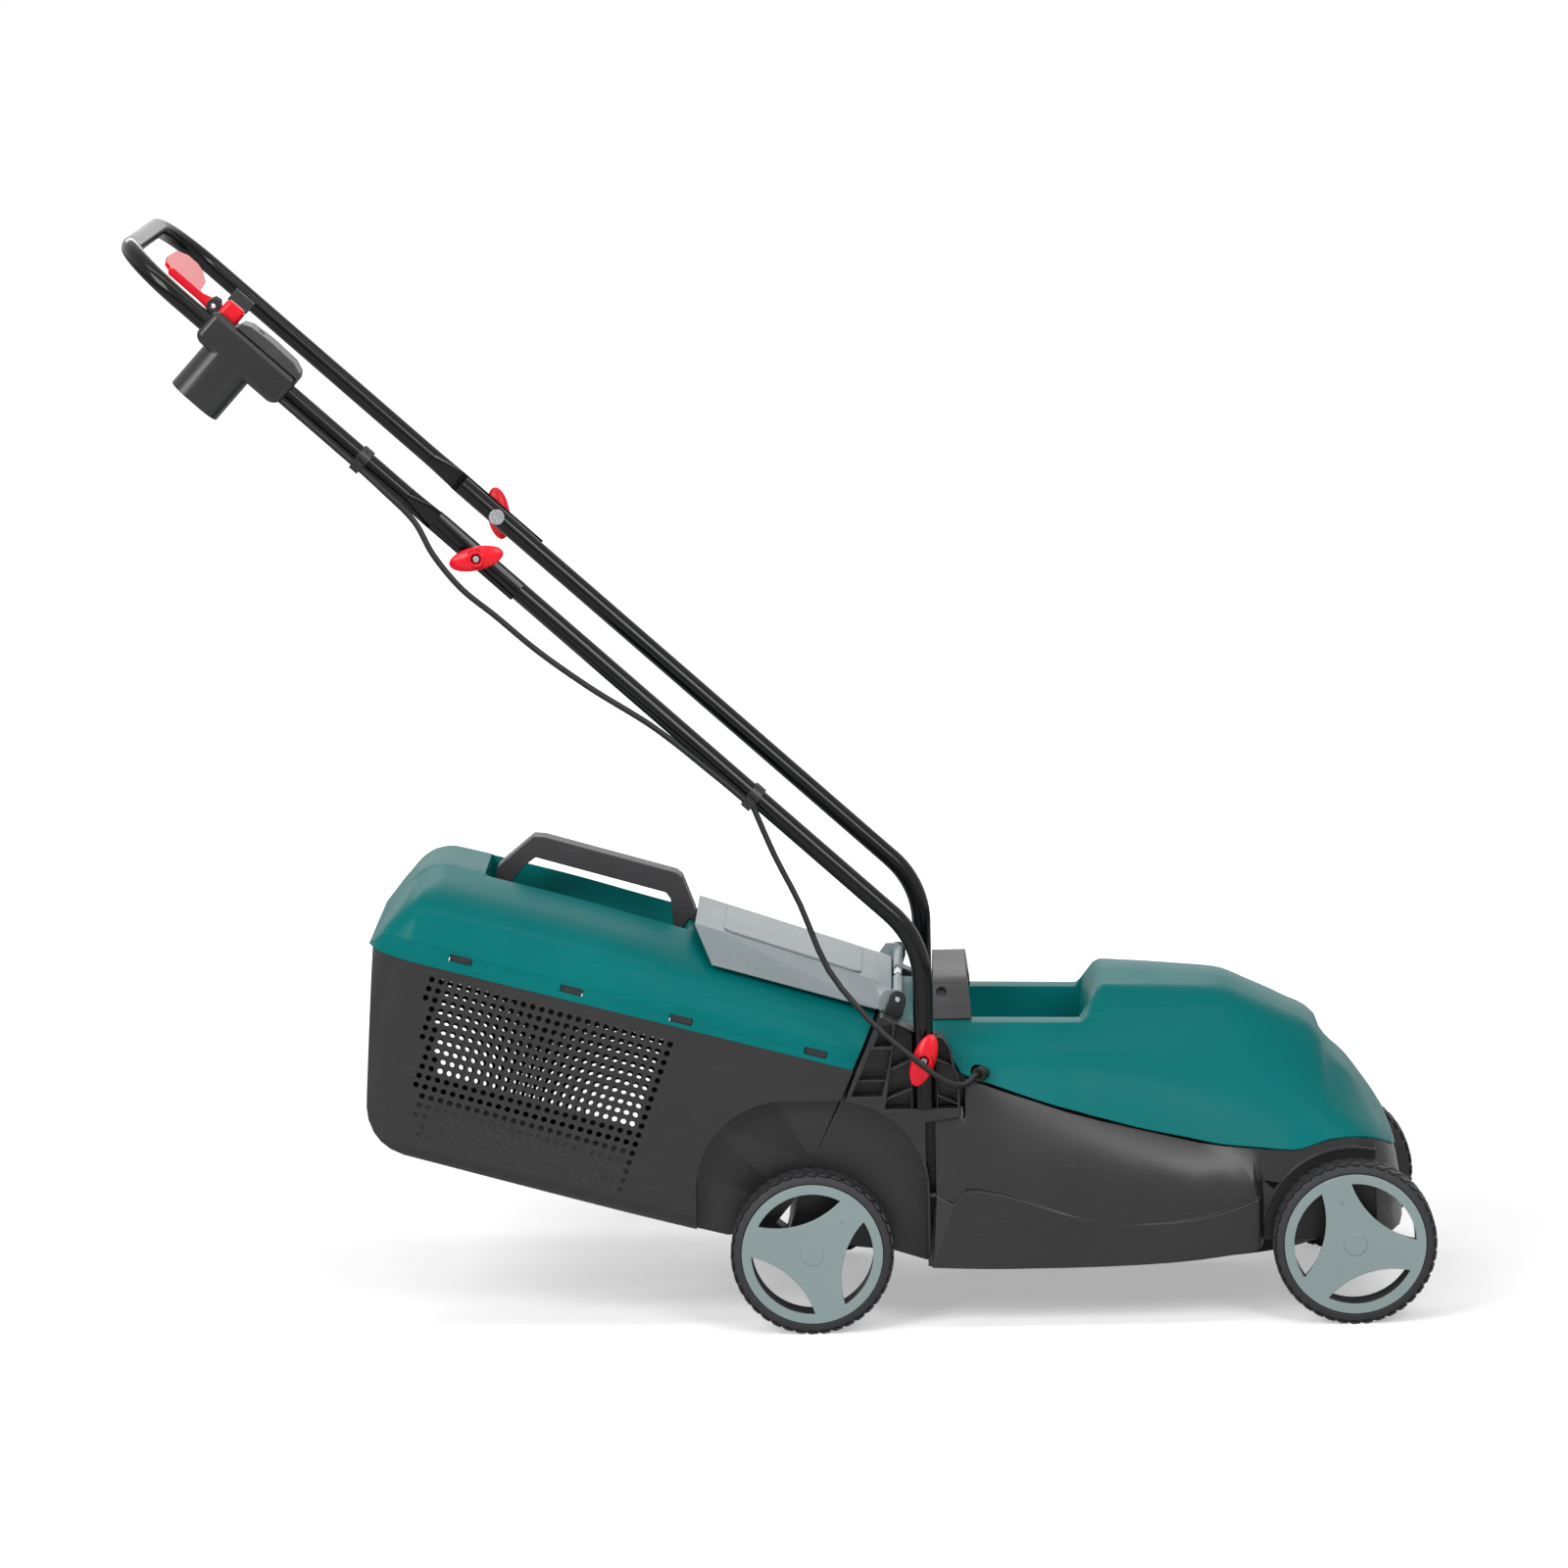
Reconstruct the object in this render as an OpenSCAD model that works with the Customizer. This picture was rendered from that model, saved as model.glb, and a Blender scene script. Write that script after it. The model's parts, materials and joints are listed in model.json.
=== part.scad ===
// Compact corded rotary lawn mower with a rear grass box.
// Millimetres. +X forward, +Z up, +Y to the machine's left. Wheels stand on z = 0.

/* [Chassis] */
// distance between the two axles
wheelbase = 529; // [500:1:600]
// rear axle position along the frame
rear_axle_x = 19; // [0:1:60]
// distance over the outer faces of the wheels
track = 392; // [340:1:460]
// wall of the moulded plastic shells
shell_wall = 3; // [2:0.5:4]
// bore of the wheel well around a front wheel
well_r = 88; // [84:1:96]
// wheel arch half width at the rear
arch_half = 113; // [100:1:125]
// wheel arch height at the rear
arch_top = 227; // [205:1:227]
// corner radius of the rear wheel arch
arch_r = 88; // [60:1:100]

/* [Wheels] */
// tyre diameter
wheel_d = 160; // [140:1:172]
// wheel width
wheel_w = 35; // [28:1:42]
// axle rod diameter
axle_d = 10; // [8:0.5:12]
// running clearance of a wheel on its axle, on the radius
axle_gap = 0.05; // [0.02:0.01:0.1]
// outer radius of the wheel cap
cap_r = 69; // [64:1:72]
// inner radius of the cap's rim
cap_in = 59.5; // [54:0.5:62]
// half width of the cap's middle, where an opening is deepest
cap_waist = 31; // [26:1:36]
// wheel cap thickness
cap_t = 4; // [3:0.5:6]
// grooves across the tread
treads = 40; // [24:2:60]

/* [Cutting] */
// distance of the blade axis behind the front axle
motor_setback = 174; // [160:1:190]
// cutting circle
blade_d = 320; // [280:1:324]
// blade width
blade_w = 46; // [36:1:56]
// blade underside height
blade_z = 70; // [66:1:74]
// blade thickness
blade_t = 4; // [3:0.5:5]
// motor can radius
motor_r = 55; // [45:1:62]
// motor shaft diameter
shaft_d = 12; // [10:1:14]

/* [Grass box] */
// tilt of the box along its rim, nose down
box_tilt = 15.2; // [12:0.1:18]
// box half width
box_half = 168; // [150:1:172]
// box wall
box_wall = 2.5; // [2:0.5:3.5]
// width of the box handle
box_grip_w = 30; // [24:1:36]
// perforation hole diameter
vent_d = 5.8; // [4:0.1:7]
// distance of the holes along a row
vent_pitch = 9.25; // [8:0.05:12]
// distance of the rows
vent_drop = 9.5; // [8:0.1:12]
// holes in the longest row
vents_along = 27; // [12:1:27]
// rows of holes
vent_rows = 17; // [8:1:17]

/* [Handle] */
// tube diameter
tube_d = 19; // [17:0.5:22]
// tube wall
tube_wall = 1.2; // [1:0.1:2]
// handle slope from the horizontal
handle_tilt = 42.5; // [38:0.5:48]
// half distance between the lower tubes
lower_half = 172; // [168:1:175]
// half distance between the legs of the upper handle
upper_half = 186; // [184:1:190]
// lower tube from its bend corner to the pivot bolt
lower_run = 570; // [480:1:600]
// upper handle from the pivot bolt to the crossbar
upper_run = 447; // [400:1:480]
// bend radius of the lower tube
foot_bend = 90; // [70:1:100]
// corner radius of the upper handle
top_bend = 68; // [55:1:80]
// bolt diameter
bolt_d = 6; // [5:0.5:8]
// wing knob length
knob_l = 57; // [48:1:62]
// wing knob width
knob_w = 23; // [19:1:27]

/* [Switch] */
// distance of the switch box's top end from the crossbar
switch_top = 103; // [96:1:115]
// switch box length
switch_l = 104; // [95:1:112]
// switch box depth across the leg
switch_h = 34; // [30:1:38]
// bore of the mains inlet
inlet_d = 41; // [38:1:42]
// mains inlet mouth distance from the leg's axis
inlet_reach = 65; // [58:1:72]
// cable diameter
cable_d = 6; // [5:0.5:8]

/* [Hidden] */
$fn = 96;
wr = wheel_d / 2;
wy = track / 2 - wheel_w / 2;
axle_z = wr;
ax_r = axle_d / 2;
motor_x = wheelbase - motor_setback;
blade_r = blade_d / 2;
chamber_r = blade_r + 4;
plate_z = 130;
chute_end = motor_x - 115;
screw_r = 2.5;
screw_ring = motor_r + 7;
gap = 0.1;
shaft_r = shaft_d / 2;
tr = tube_d / 2;
br = bolt_d / 2;
foot_head = 152;
foot_x = 112.5;
foot_z = 219;
corner_z = 384.5;
knob_z = 270;
turn = 90 - handle_tilt;
tang = foot_bend * tan(turn / 2);
pivot_x = foot_x - lower_run * cos(handle_tilt);
pivot_z = corner_z + lower_run * sin(handle_tilt);
tube_past = 48;
box_x = -430;
box_z = 389;
hinge_x = 88;
hinge_z = 322;
su = switch_top - upper_run;
se = su + switch_l;
sh = switch_h / 2;
box_y = -185;
clip_u = -145;
clip2_u = 354;
clip_wall = 2.2;
clip_w = -8;
clip_y = tr + clip_wall + cable_d / 2;

green = [0.12, 0.48, 0.46];
black = [0.23, 0.23, 0.23];
grey = [0.55, 0.60, 0.61];
dark = [0.30, 0.31, 0.32];
red = [0.91, 0.13, 0.17];
steel = [0.75, 0.76, 0.78];
gloss = [0.10, 0.10, 0.10];
copper = [0.72, 0.45, 0.25];

// ---------- helpers ----------
module at_rear() { translate([rear_axle_x, 0, 0]) children(); }
// a drawing in x-z, given a width across the machine
module side(w, y = 0) { translate([0, y, 0]) rotate([90, 0, 0]) linear_extrude(w, center = true) children(); }
module span(y0, y1) { side(y1 - y0, (y0 + y1) / 2) children(); }
module both() {
  children();
  mirror([0, 1, 0]) children();
}
module rod_y(r, y0, y1) { translate([0, y1, 0]) rotate([90, 0, 0]) cylinder(r = r, h = y1 - y0); }
module at_pivot() { at_rear() translate([pivot_x, 0, pivot_z]) rotate([0, handle_tilt, 0]) children(); }
module at_box() { at_rear() translate([box_x, 0, box_z]) rotate([0, box_tilt, 0]) children(); }
module block(a, b) { translate(a) cube(b - a); }
module slot2d(l, w) {
  square([l - w, w], center = true);
  for (s = [-1, 1]) translate([s * (l - w) / 2, 0]) circle(d = w);
}
module round2d(l, w, r) {
  square([l - 2 * r, w], center = true);
  square([l, w - 2 * r], center = true);
  for (s = [-1, 1]) for (t = [-1, 1]) translate([s * (l / 2 - r), t * (w / 2 - r)]) circle(r);
}
// closed sections, one after another, with flat ends; an open shell's sections run out along the
// outer skin and back along the inner one, so its ends are strips
module loft(secs, open = false) {
  n = len(secs);
  m = len(secs[0]);
  h = m / 2;
  ends = open ? [for (j = [0 : h - 2]) [j, j + 1, m - 2 - j, m - 1 - j]] : [[for (j = [0 : m - 1]) j]];
  polyhedron(points = [for (s = secs) for (p = s) p],
    faces = concat(ends,
      [for (i = [0 : n - 2]) for (j = [0 : m - 1]) [i * m + j, (i + 1) * m + j, (i + 1) * m + (j + 1) % m]],
      [for (i = [0 : n - 2]) for (j = [0 : m - 1]) [i * m + j, (i + 1) * m + (j + 1) % m, i * m + (j + 1) % m]],
      [for (f = ends) [for (k = [len(f) - 1 : -1 : 0]) (n - 1) * m + f[k]]]));
}
function unit(v) = v / norm(v);
function tangent(p, i) = unit(p[min(i + 1, len(p) - 1)] - p[max(i - 1, 0)]);
// one flexible lead through points, as a round bar
module lead(p, r, sides = 10) {
  loft([for (i = [0 : len(p) - 1])
    let (t = tangent(p, i), n = unit(cross(t, [0.1, 1, 0.2])), b = cross(t, n))
    [for (k = [0 : sides - 1]) p[i] + r * (cos(360 * k / sides) * n + sin(360 * k / sides) * b)]]);
}
// smooth course through points
function mix(a, b, c, d, t) = 0.5 * ((2 * b) + (c - a) * t + (2 * a - 5 * b + 4 * c - d) * t * t
  + (3 * b - a - 3 * c + d) * t * t * t);
function course(p, k) = [for (i = [0 : len(p) - 2]) for (s = [0 : k - 1])
  mix(p[max(i - 1, 0)], p[i], p[i + 1], p[min(i + 2, len(p) - 1)], s / k), p[len(p) - 1]];

// stations drawn for a wheelbase of 529 move with the front axle; the rear ones stay
function stretch(x) = x + (wheelbase - 529) * min(1, max(0, (x - 150) / 150));
function stretched(v) = [for (k = [0 : len(v) - 1]) (k == 0) ? stretch(v[0]) : v[k]];

// ---------- wheel arch ----------
module arch2d(g = 0) {
  r = arch_r + g;
  translate([0, arch_top - arch_r]) for (s = [-1, 1]) translate([s * (arch_half - arch_r), 0]) circle(r);
  translate([-(arch_half - arch_r), 40]) square([2 * (arch_half - arch_r), arch_top + g - 40]);
  translate([-arch_half - g, 40]) square([2 * arch_half + 2 * g, arch_top - arch_r - 40]);
}

// ---------- deck ----------
// stations of the skirt from the rear round the nose: x of the band's foot, its half width and height,
// x of its upper edge, half width, height, depth of the ledge above it, half width and height of the
// bulge, then of the upper flank, then of the top edge
skirt = [
  [113, 177, 64, 122, 178, 131, 0.4, 177, 168, 173, 200, 170, 219],
  [118, 188, 62.5, 139, 188, 125, 7, 178.5, 168, 173.5, 200, 169, 219],
  [150, 188, 61, 150, 188, 138, 8, 178.8, 172, 173.6, 205, 166, 219],
  [152, 188, 61, 152, 188, 138, 8, 178.8, 173, 173, 208, 166, 246],
  [164, 188, 60.5, 164, 188, 138, 7, 179.5, 172, 174, 208, 165.5, 242],
  [190, 188, 60, 190, 188, 133, 5, 182, 168, 175, 203, 165, 232],
  [219, 188, 60, 219, 188, 123, 2.4, 184.5, 160, 177, 194, 165, 222],
  [250, 188, 60, 250, 188, 112, 0.7, 186.5, 152, 178, 186, 165, 211],
  [285, 188, 60.5, 285, 188, 103, 0.2, 187.5, 146, 179, 178, 165, 201],
  [318, 188, 61.5, 318, 188, 101, 0.5, 187.5, 143, 178.5, 172, 165, 193],
  [350, 187.6, 63, 350, 187.6, 102, 1.6, 186, 141, 176.5, 167, 164.5, 185],
  [378, 186, 65, 378, 186, 105.5, 2.8, 183.5, 139, 174, 163, 164, 178],
  [402, 183.5, 67.5, 402, 183.5, 111, 3.8, 180, 138, 170.5, 160, 163.7, 174],
  [420, 181, 69.5, 420, 181, 116, 4.4, 177, 138.5, 168.5, 158, 163.5, 172],
  [432, 178.5, 71, 432, 178.5, 121, 4.6, 173.5, 139, 166.8, 157, 163.3, 171],
  [437, 177, 72, 437, 177, 122.5, 5, 169, 139, 165.6, 157, 163.2, 170.5],
  [441, 166.5, 77, 441, 166.5, 124, 0.3, 165.6, 139, 164.8, 157, 163, 170],
  [472, 165, 80, 472, 165, 118, 0.1, 164.6, 134, 164, 152, 163, 168],
  [503, 165, 80, 503, 165, 118, 0.1, 164.6, 136, 164, 158, 163, 177],
  [533, 164, 80, 533, 164, 118, 0.1, 163.6, 137, 163, 160, 162, 180],
  [553, 156, 80, 552.7, 155.8, 108, 0.1, 155, 130, 153.5, 155, 151, 176],
  [568, 138, 80, 567.4, 137.5, 106, 0.1, 136.4, 127, 134.6, 150, 132, 169],
  [578, 105, 80, 577.3, 104.4, 104, 0.1, 103.4, 124, 102, 145, 100, 159],
  [583, 62, 80, 582.2, 61.4, 104, 0.1, 60.3, 123, 59, 140, 57, 151],
  [584.5, 20, 80, 583.6, 20, 104, 0.1, 20, 123, 19.6, 139, 19, 149]];
// the top edge leans back round the nose
function nose_lean(x) = x < 540 ? 0 : 7.5 * min(1, (x - 540) / 44);
function skirt_points(r) = [[r[0], r[1], r[2]], [r[3], r[4], r[5]], [r[3], r[4] - r[6], r[5] + 1.2 + r[6] * 0.1],
  [r[3] - 0.2 * nose_lean(r[3]), r[7], r[8]], [r[3] - 0.55 * nose_lean(r[3]), r[9], r[10]],
  [r[3] - nose_lean(r[3]), r[11], r[12]]];
function flip(p) = [p[0], -p[1], p[2]];
skirt_now = [for (s = skirt) [for (p = skirt_points(s)) stretched(p)]];
skirt_all = concat(skirt_now, [for (i = [len(skirt) - 1 : -1 : 0]) [for (p = skirt_now[i]) flip(p)]]);
function skirt_dir(i) = let (a = skirt_all[max(i - 1, 0)][0], b = skirt_all[min(i + 1, len(skirt_all) - 1)][0],
  t = unit([b[0] - a[0], b[1] - a[1], 0])) [-t[1], t[0], 0];
module deck_skirt() {
  w = shell_wall;
  loft([for (i = [0 : len(skirt_all) - 1]) let (s = skirt_all[i],
    n = (i == 0) ? [0, 1, 0] : (i == len(skirt_all) - 1) ? [0, -1, 0] : skirt_dir(i))
    concat(s, [for (k = [len(s) - 1 : -1 : 0]) s[k] - w * n])], true);
}
rear_line = [[-24, 92], [2, 163], [47, 258], [70, 309]];
module rear_plan() {
  polygon([[-24, 92], [2, 163], [47, 258], [70, 309], [76, 309], [76, 289], [103, 286.5], [127, 282.5], [138, 267], [146, 260],
    [188, 222], [188, 62], [111, 63], [80, 73], [20, 80], [-18, 82]]);
}
module pocket_outer() {
  difference() {
    polygon([[32, 220], [47, 258], [70, 309], [73, 311], [102, 297], [132, 289], [139, 278], [143, 257],
      [147, 250], [147, 210], [113, 205], [113, 120]]);
    arch2d();
  }
}
module pocket_hole() {
  polygon([[86, 303], [101, 295.5], [130, 287], [136.5, 277], [140.5, 256.5], [144.5, 248], [144.5, 219],
    [74, 219], [80, 258], [84, 287]]);
  polygon([[41, 232], [62, 278], [81, 278], [77, 258], [71, 232]]);
  polygon([[64, 281], [72, 301], [82, 303], [81.5, 281]]);
}
module pocket_ribs() {
  for (x = [foot_x - 13, foot_x + 11.5]) translate([x, foot_z]) square([1.6, 74]);
  polygon([[74, 257], [98, 267], [100.5, 267], [100.5, 265], [78, 255]]);
  polygon([[70, 228], [98, 239], [100.5, 239], [100.5, 237], [72, 226]]);
  polygon([[124, 268], [142, 261], [142, 259], [124, 266]]);
  polygon([[124, 233], [146, 223], [146, 221], [124, 231]]);
  translate([44, 246]) square([32, 2]);
}
plate_drawn = [[95, 0], [95, 149], [114, 149], [114, 174.5], [148, 178], [176, 181.5], [242, 182.5],
  [318, 179], [356, 177], [393, 175], [435, 168], [440, 157], [540, 156], [554, 147], [566, 118], [573, 85],
  [577, 40], [578, 0]];
plate_half = [for (p = plate_drawn) stretched(p)];
module plate2d() {
  polygon(concat(plate_half, [for (i = [len(plate_half) - 2 : -1 : 1]) [plate_half[i][0], -plate_half[i][1]]]));
}
chute_in = [[-30, 60], [-13, 125], [43, 250], [60, 250], [chute_end, plate_z], [chute_end + 22, plate_z],
  [chute_end + 22, 60], [150, 67]];
module deck_shell() color(black) at_rear() difference() {
  union() {
    deck_skirt();
    // side walls, rear wall and top rim of the rear housing
    both() span(147, 150) rear_plan();
    span(-150, 150) polygon([[-24, 92], [2, 163], [47, 258], [70, 309], [76, 309], [76, 303], [74, 303],
      [50, 256.5], [5, 161.5], [-20, 92]]);
    // pocket the tube stands in
    both() difference() {
      span(150, 178) pocket_outer();
      span(156, 180) pocket_hole();
      // room for the cover's edge, and for the tube where it comes through the roof
      span(149, 151.4) polygon([[75, 289.5], [103, 287.5], [108, 286.5], [129, 283], [129, 320], [75, 320]]);
      span(149, 158.5) polygon([[129, 282.5], [139, 267], [139, 300], [129, 300]]);
      span(149, 162) polygon([[139, 267], [148, 249], [148, 300], [139, 300]]);
      translate([foot_x, lower_half, foot_z]) cylinder(r = tr + 0.3, h = 100);
    }
    both() span(156, 176) pocket_ribs();
    both() at_foot_knob() rod_y(9, 150, lower_half - tr);
    // rear arch liner
    both() intersection() {
      span(150, 177) difference() {
        arch2d(3);
        arch2d();
      }
      span(149, 178) polygon([[34, 150], [34, 222], [60, 235], [147, 235], [147, 62], [80, 62], [80, 150]]);
    }
    // front wheel wells
    both() intersection() {
      translate([wheelbase, 0, axle_z]) {
        rod_y(well_r + 3, 154, 157);
        difference() {
          rod_y(well_r + 3, 156, 165);
          rod_y(well_r, 150, 170);
        }
      }
      span(150, 170) translate([wheelbase - 93, 78]) square([116, 100]);
    }
    // ceiling of the blade chamber, its ring and the grass chute
    difference() {
      translate([0, 0, plate_z]) linear_extrude(4) plate2d();
      block([80, -92, 120], [chute_end, 92, 140]);
    }
    difference() {
      translate([motor_x, 0, 63]) cylinder(r = chamber_r + 3, h = plate_z - 62);
      translate([motor_x, 0, 50]) cylinder(r = chamber_r, h = 100);
      block([100, -92, 50], [motor_x - 60, 92, plate_z]);
    }
    difference() {
      span(-95, 95) polygon([[-17, 121], [2, 160], [46, 254], [60, 254], [chute_end, plate_z + 4],
        [chute_end, 66], [150, 62]]);
      span(-92, 92) polygon(chute_in);
      translate([motor_x, 0, 50]) cylinder(r = chamber_r, h = 80);
    }
    // bosses for the axles, ears for the flap
    both() translate([0, 0, axle_z]) rod_y(14, 143, 158);
    both() translate([wheelbase, 0, axle_z]) rod_y(14, 146, 159);
    both() span(141, 145) flap_ear();
  }
  span(-92, 92) polygon([[-40, 118], [-16, 125.5], [3, 163.2], [43, 250], [30, 262]]);
  both() translate([wheelbase, 0, axle_z]) rod_y(well_r, 157, 200);
  for (x = [0, wheelbase]) translate([x, 0, axle_z]) rod_y(ax_r, -200, 200);
  both() at_foot_knob() rod_y(br + gap, 100, 200);
  both() at_foot_knob() rod_y(8, 100, foot_head);
  at_deck_screws() translate([0, 0, -1]) cylinder(r = screw_r + gap, h = 8);
  translate([motor_x, 0, 100]) cylinder(r = 20, h = 60);
  translate([hinge_x, 0, hinge_z]) rod_y(2.5, -150, 150);
}
module flap_ear() {
  translate([hinge_x, hinge_z]) circle(8);
  polygon([[70, 298], [76.4, 298], [92, 304], [hinge_x + 8, hinge_z - 5], [hinge_x + 7.5, hinge_z], [hinge_x - 8, hinge_z]]);
}
module at_foot_knob() { translate([foot_x, 0, knob_z]) children(); }

module at_deck_screws() {
  for (a = [45 : 90 : 315]) translate([motor_x + screw_ring * cos(a), screw_ring * sin(a), plate_z]) children();
}
module deck_screws() color(steel) at_rear() at_deck_screws() {
  translate([0, 0, -3]) cylinder(r = 2 * screw_r, h = 3);
  cylinder(r = screw_r, h = 8.5);
}
grommet_at = [168, -168, 251];
grommet_turn = 25;
grommet_r = 7;
grommet_out = [-sin(grommet_turn), -cos(grommet_turn), 0];
module at_grommet() { translate(grommet_at) rotate([90, 0, -grommet_turn]) children(); }
module cable_grommet() color(gloss) at_rear() at_grommet() difference() {
  translate([0, 0, -5]) cylinder(r = grommet_r, h = 12);
  translate([0, 0, -6]) cylinder(r = cable_d / 2 + gap, h = 14);
}

// ---------- motor cover ----------
// [x, edge half width, edge z, side z, crease half width, crease z, shoulder half width, shoulder z,
//  wall foot half width, foot z, middle z]
cover_rows = [
  [77, 150, 290, 294, 115, 300, 86, 301, 70, 302, 303],
  [103, 150.5, 288, 292, 115, 299, 86, 300, 70, 301, 302],
  [108, 150.5, 287, 291, 115, 294, 86, 294, 84, 251, 250],
  [130, 151, 284, 290, 115, 293.5, 86, 293, 84, 251, 250],
  [138, 157, 270, 284, 115, 293.5, 86, 293, 84, 251, 250],
  [148, 166, 252, 278, 115, 293.5, 86, 293, 84, 251, 250],
  [176, 167, 241, 272, 115, 293, 86, 292.5, 84, 251, 250],
  [242, 167.5, 217, 262, 115, 291.5, 86, 291, 84, 251, 250],
  [266, 167.5, 210, 258, 115, 291, 86, 290.5, 84, 252, 251],
  [272, 167.5, 208, 256, 114, 292, 86, 300, 82, 294, 290],
  [290, 167.5, 203, 252, 113, 290, 82, 318, 68, 322, 325],
  [318, 167.5, 195, 245, 113, 286, 82, 315, 68, 320.5, 325],
  [366, 167, 184, 232, 113, 276.5, 82, 308, 66, 317, 321.5],
  [405, 166.5, 175.5, 220, 113, 266, 81, 302, 64, 313, 318],
  [438, 166, 172, 210, 113, 255, 80, 290, 62, 300, 304.5],
  [472, 166, 169, 201, 113, 241, 78, 273, 60, 284, 288],
  [503, 166, 178, 198, 113, 222, 76, 253, 58, 265, 269.5],
  [507, 165.5, 179, 197, 113, 219, 76, 243, 58, 253, 258],
  [534, 163, 181, 190, 113, 201, 76, 216, 58, 224, 227],
  [551, 152, 177, 182, 112, 190, 76, 197, 56, 201, 203],
  [563, 132, 170, 173, 106, 178, 73, 181, 54, 183, 184],
  [572, 101, 161, 162, 86, 165, 64, 166, 46, 167, 168],
  [577, 60, 153, 153.6, 48, 154, 38, 154.6, 30, 155, 155.4]];
function cover_top(r, w, x) =
  let (k = (r[1] - w) / r[1], e = r[2], sunk = r[9] < r[7] - 20,
    f = function(z, j) w > 0 ? max(z - w, e + 0.02 * j * j) : z,
    g = function(y) sunk ? y + w : y * k,
    h = [[x, r[1] - w, e], [x, (r[1] * 0.62 + r[4] * 0.38 + 4) * k, f(r[3], 1)], [x, r[4] * k, f(r[5], 2)],
      [x, g(r[6]), f(r[7], 3)], [x, g(r[8]), f(r[9], 4)], [x, r[8] * 0.5 * k, f(r[9] * 0.3 + r[10] * 0.7, 5)]])
  concat(h, [[x, 0, f(r[10], 6)]], [for (i = [5 : -1 : 0]) flip(h[i])]);
// shift of the inner skin along x where the top climbs or falls steeply
function cover_in(x) = x > 102 && x < 109 ? x - 3 : x > 265 && x < 291 ? x + 3 : x > 533 && x < 573 ? x - 2.5 : x;
function back(v) = [for (i = [len(v) - 1 : -1 : 0]) v[i]];
module motor_cover() color(green) at_rear() difference() {
  loft([for (r = cover_rows)
    concat(cover_top(r, 0, stretch(r[0])), back(cover_top(r, shell_wall, stretch(cover_in(r[0])))))], true);
  both() at_grommet() translate([0, 0, -20]) cylinder(r = grommet_r + gap / 2, h = 50);
}
module carry_handle() color(dark) at_rear() {
  difference() {
    intersection() {
      span(-106, 106) polygon([[123, 250], [162, 250], [160, 300], [155, 342], [123, 342], [122, 300]]);
      translate([100, 0, 0]) rotate([90, 0, 90]) linear_extrude(80) difference() {
        polygon([[-106, 294], [-101, 308], [-90, 326], [-80, 332], [-50, 337], [-20, 339.6], [0, 340],
          [20, 339.6], [50, 337], [80, 332], [90, 326], [101, 308], [106, 294]]);
        polygon([[-87, 250], [-87, 292], [-80, 306], [-68, 314], [-40, 319], [0, 321], [40, 319], [68, 314],
          [80, 306], [87, 292], [87, 250]]);
      }
    }
    both() translate([131, 96, 322]) rotate([-38, 0, 0]) cylinder(r = 5, h = 14, center = true);
  }
}

// ---------- motor and cutter ----------
module ring(r1, r0, z0, z1) {
  translate([0, 0, z0]) difference() {
    cylinder(r = r1, h = z1 - z0);
    translate([0, 0, -1]) cylinder(r = r0, h = z1 - z0 + 2);
  }
}
module at_motor() { at_rear() translate([motor_x, 0, 0]) children(); }
module motor_lower_bracket() color(steel) at_motor() {
  difference() {
    ring(motor_r + 15, 20, 134, 139);
    translate([-motor_x, 0, 0]) at_deck_screws() cylinder(r = screw_r + gap, h = 12);
  }
  ring(23, 16, 139, 152);
  ring(23, 18, 134, 139);
  ring(motor_r + 5, motor_r - 5, 139, 160);
}
module motor_upper_bracket() color(steel) at_motor() {
  ring(motor_r + 5, motor_r - 5, 230, 240);
  ring(motor_r + 5, 16, 240, 245);
  ring(23, 16, 245, 254);
}
module motor_stator() color(copper) at_motor() {
  ring(motor_r, 31, 168, 222);
  ring(motor_r, motor_r - 10, 160, 230);
}
module motor_rotor() color(steel) at_motor() {
  ring(30.5, shaft_r, 170, 220);
  ring(20, shaft_r, 162, 170);
  ring(20, shaft_r, 220, 228);
}
module motor_shaft() color(steel) at_motor() difference() {
  translate([0, 0, 76]) cylinder(r = shaft_r, h = 206);
  translate([0, 0, 75]) cylinder(r = 4, h = 26);
}
module lower_bearing() color(steel) at_motor() ring(16, shaft_r + 0.05, 140, 150);
module upper_bearing() color(steel) at_motor() ring(16, shaft_r + 0.05, 242, 252);
module cooling_fan() color(dark) at_motor() {
  ring(12, shaft_r, 262, 280);
  ring(48, 11, 262, 265);
  for (a = [0 : 40 : 320]) rotate([0, 0, a]) translate([11, -1, 264]) cube([35, 2, 13]);
}
module run_capacitor() color(grey) at_rear() translate([motor_x + 95, 0, 134]) {
  cylinder(r = 20, h = 62);
  cylinder(r = 23, h = 8);
}
module blade_carrier() color(dark) at_motor() difference() {
  union() {
    translate([0, 0, blade_z + blade_t]) cylinder(r = 24, h = 8);
    translate([0, 0, blade_z + blade_t]) cylinder(r = 14, h = 22);
  }
  translate([0, 0, blade_z + blade_t + 2]) cylinder(r = shaft_r, h = 40);
  translate([0, 0, blade_z]) cylinder(r = 5, h = 20);
}
module blade() color(steel) at_motor() rotate([0, 0, 35]) translate([0, 0, blade_z]) difference() {
  union() {
    linear_extrude(blade_t) intersection() {
      circle(blade_r);
      square([2 * blade_r, blade_w], center = true);
    }
    for (a = [0, 180]) rotate([0, 0, a]) intersection() {
      cylinder(r = blade_r, h = 30);
      translate([100, -blade_w / 2 + 1, 1]) rotate([58, 0, 0]) cube([56, 18, 3]);
    }
  }
  translate([0, 0, -1]) cylinder(r = 5, h = blade_t + 2);
}
module blade_washer() color(steel) at_motor() ring(20, 5, blade_z - 2.5, blade_z);
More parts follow.
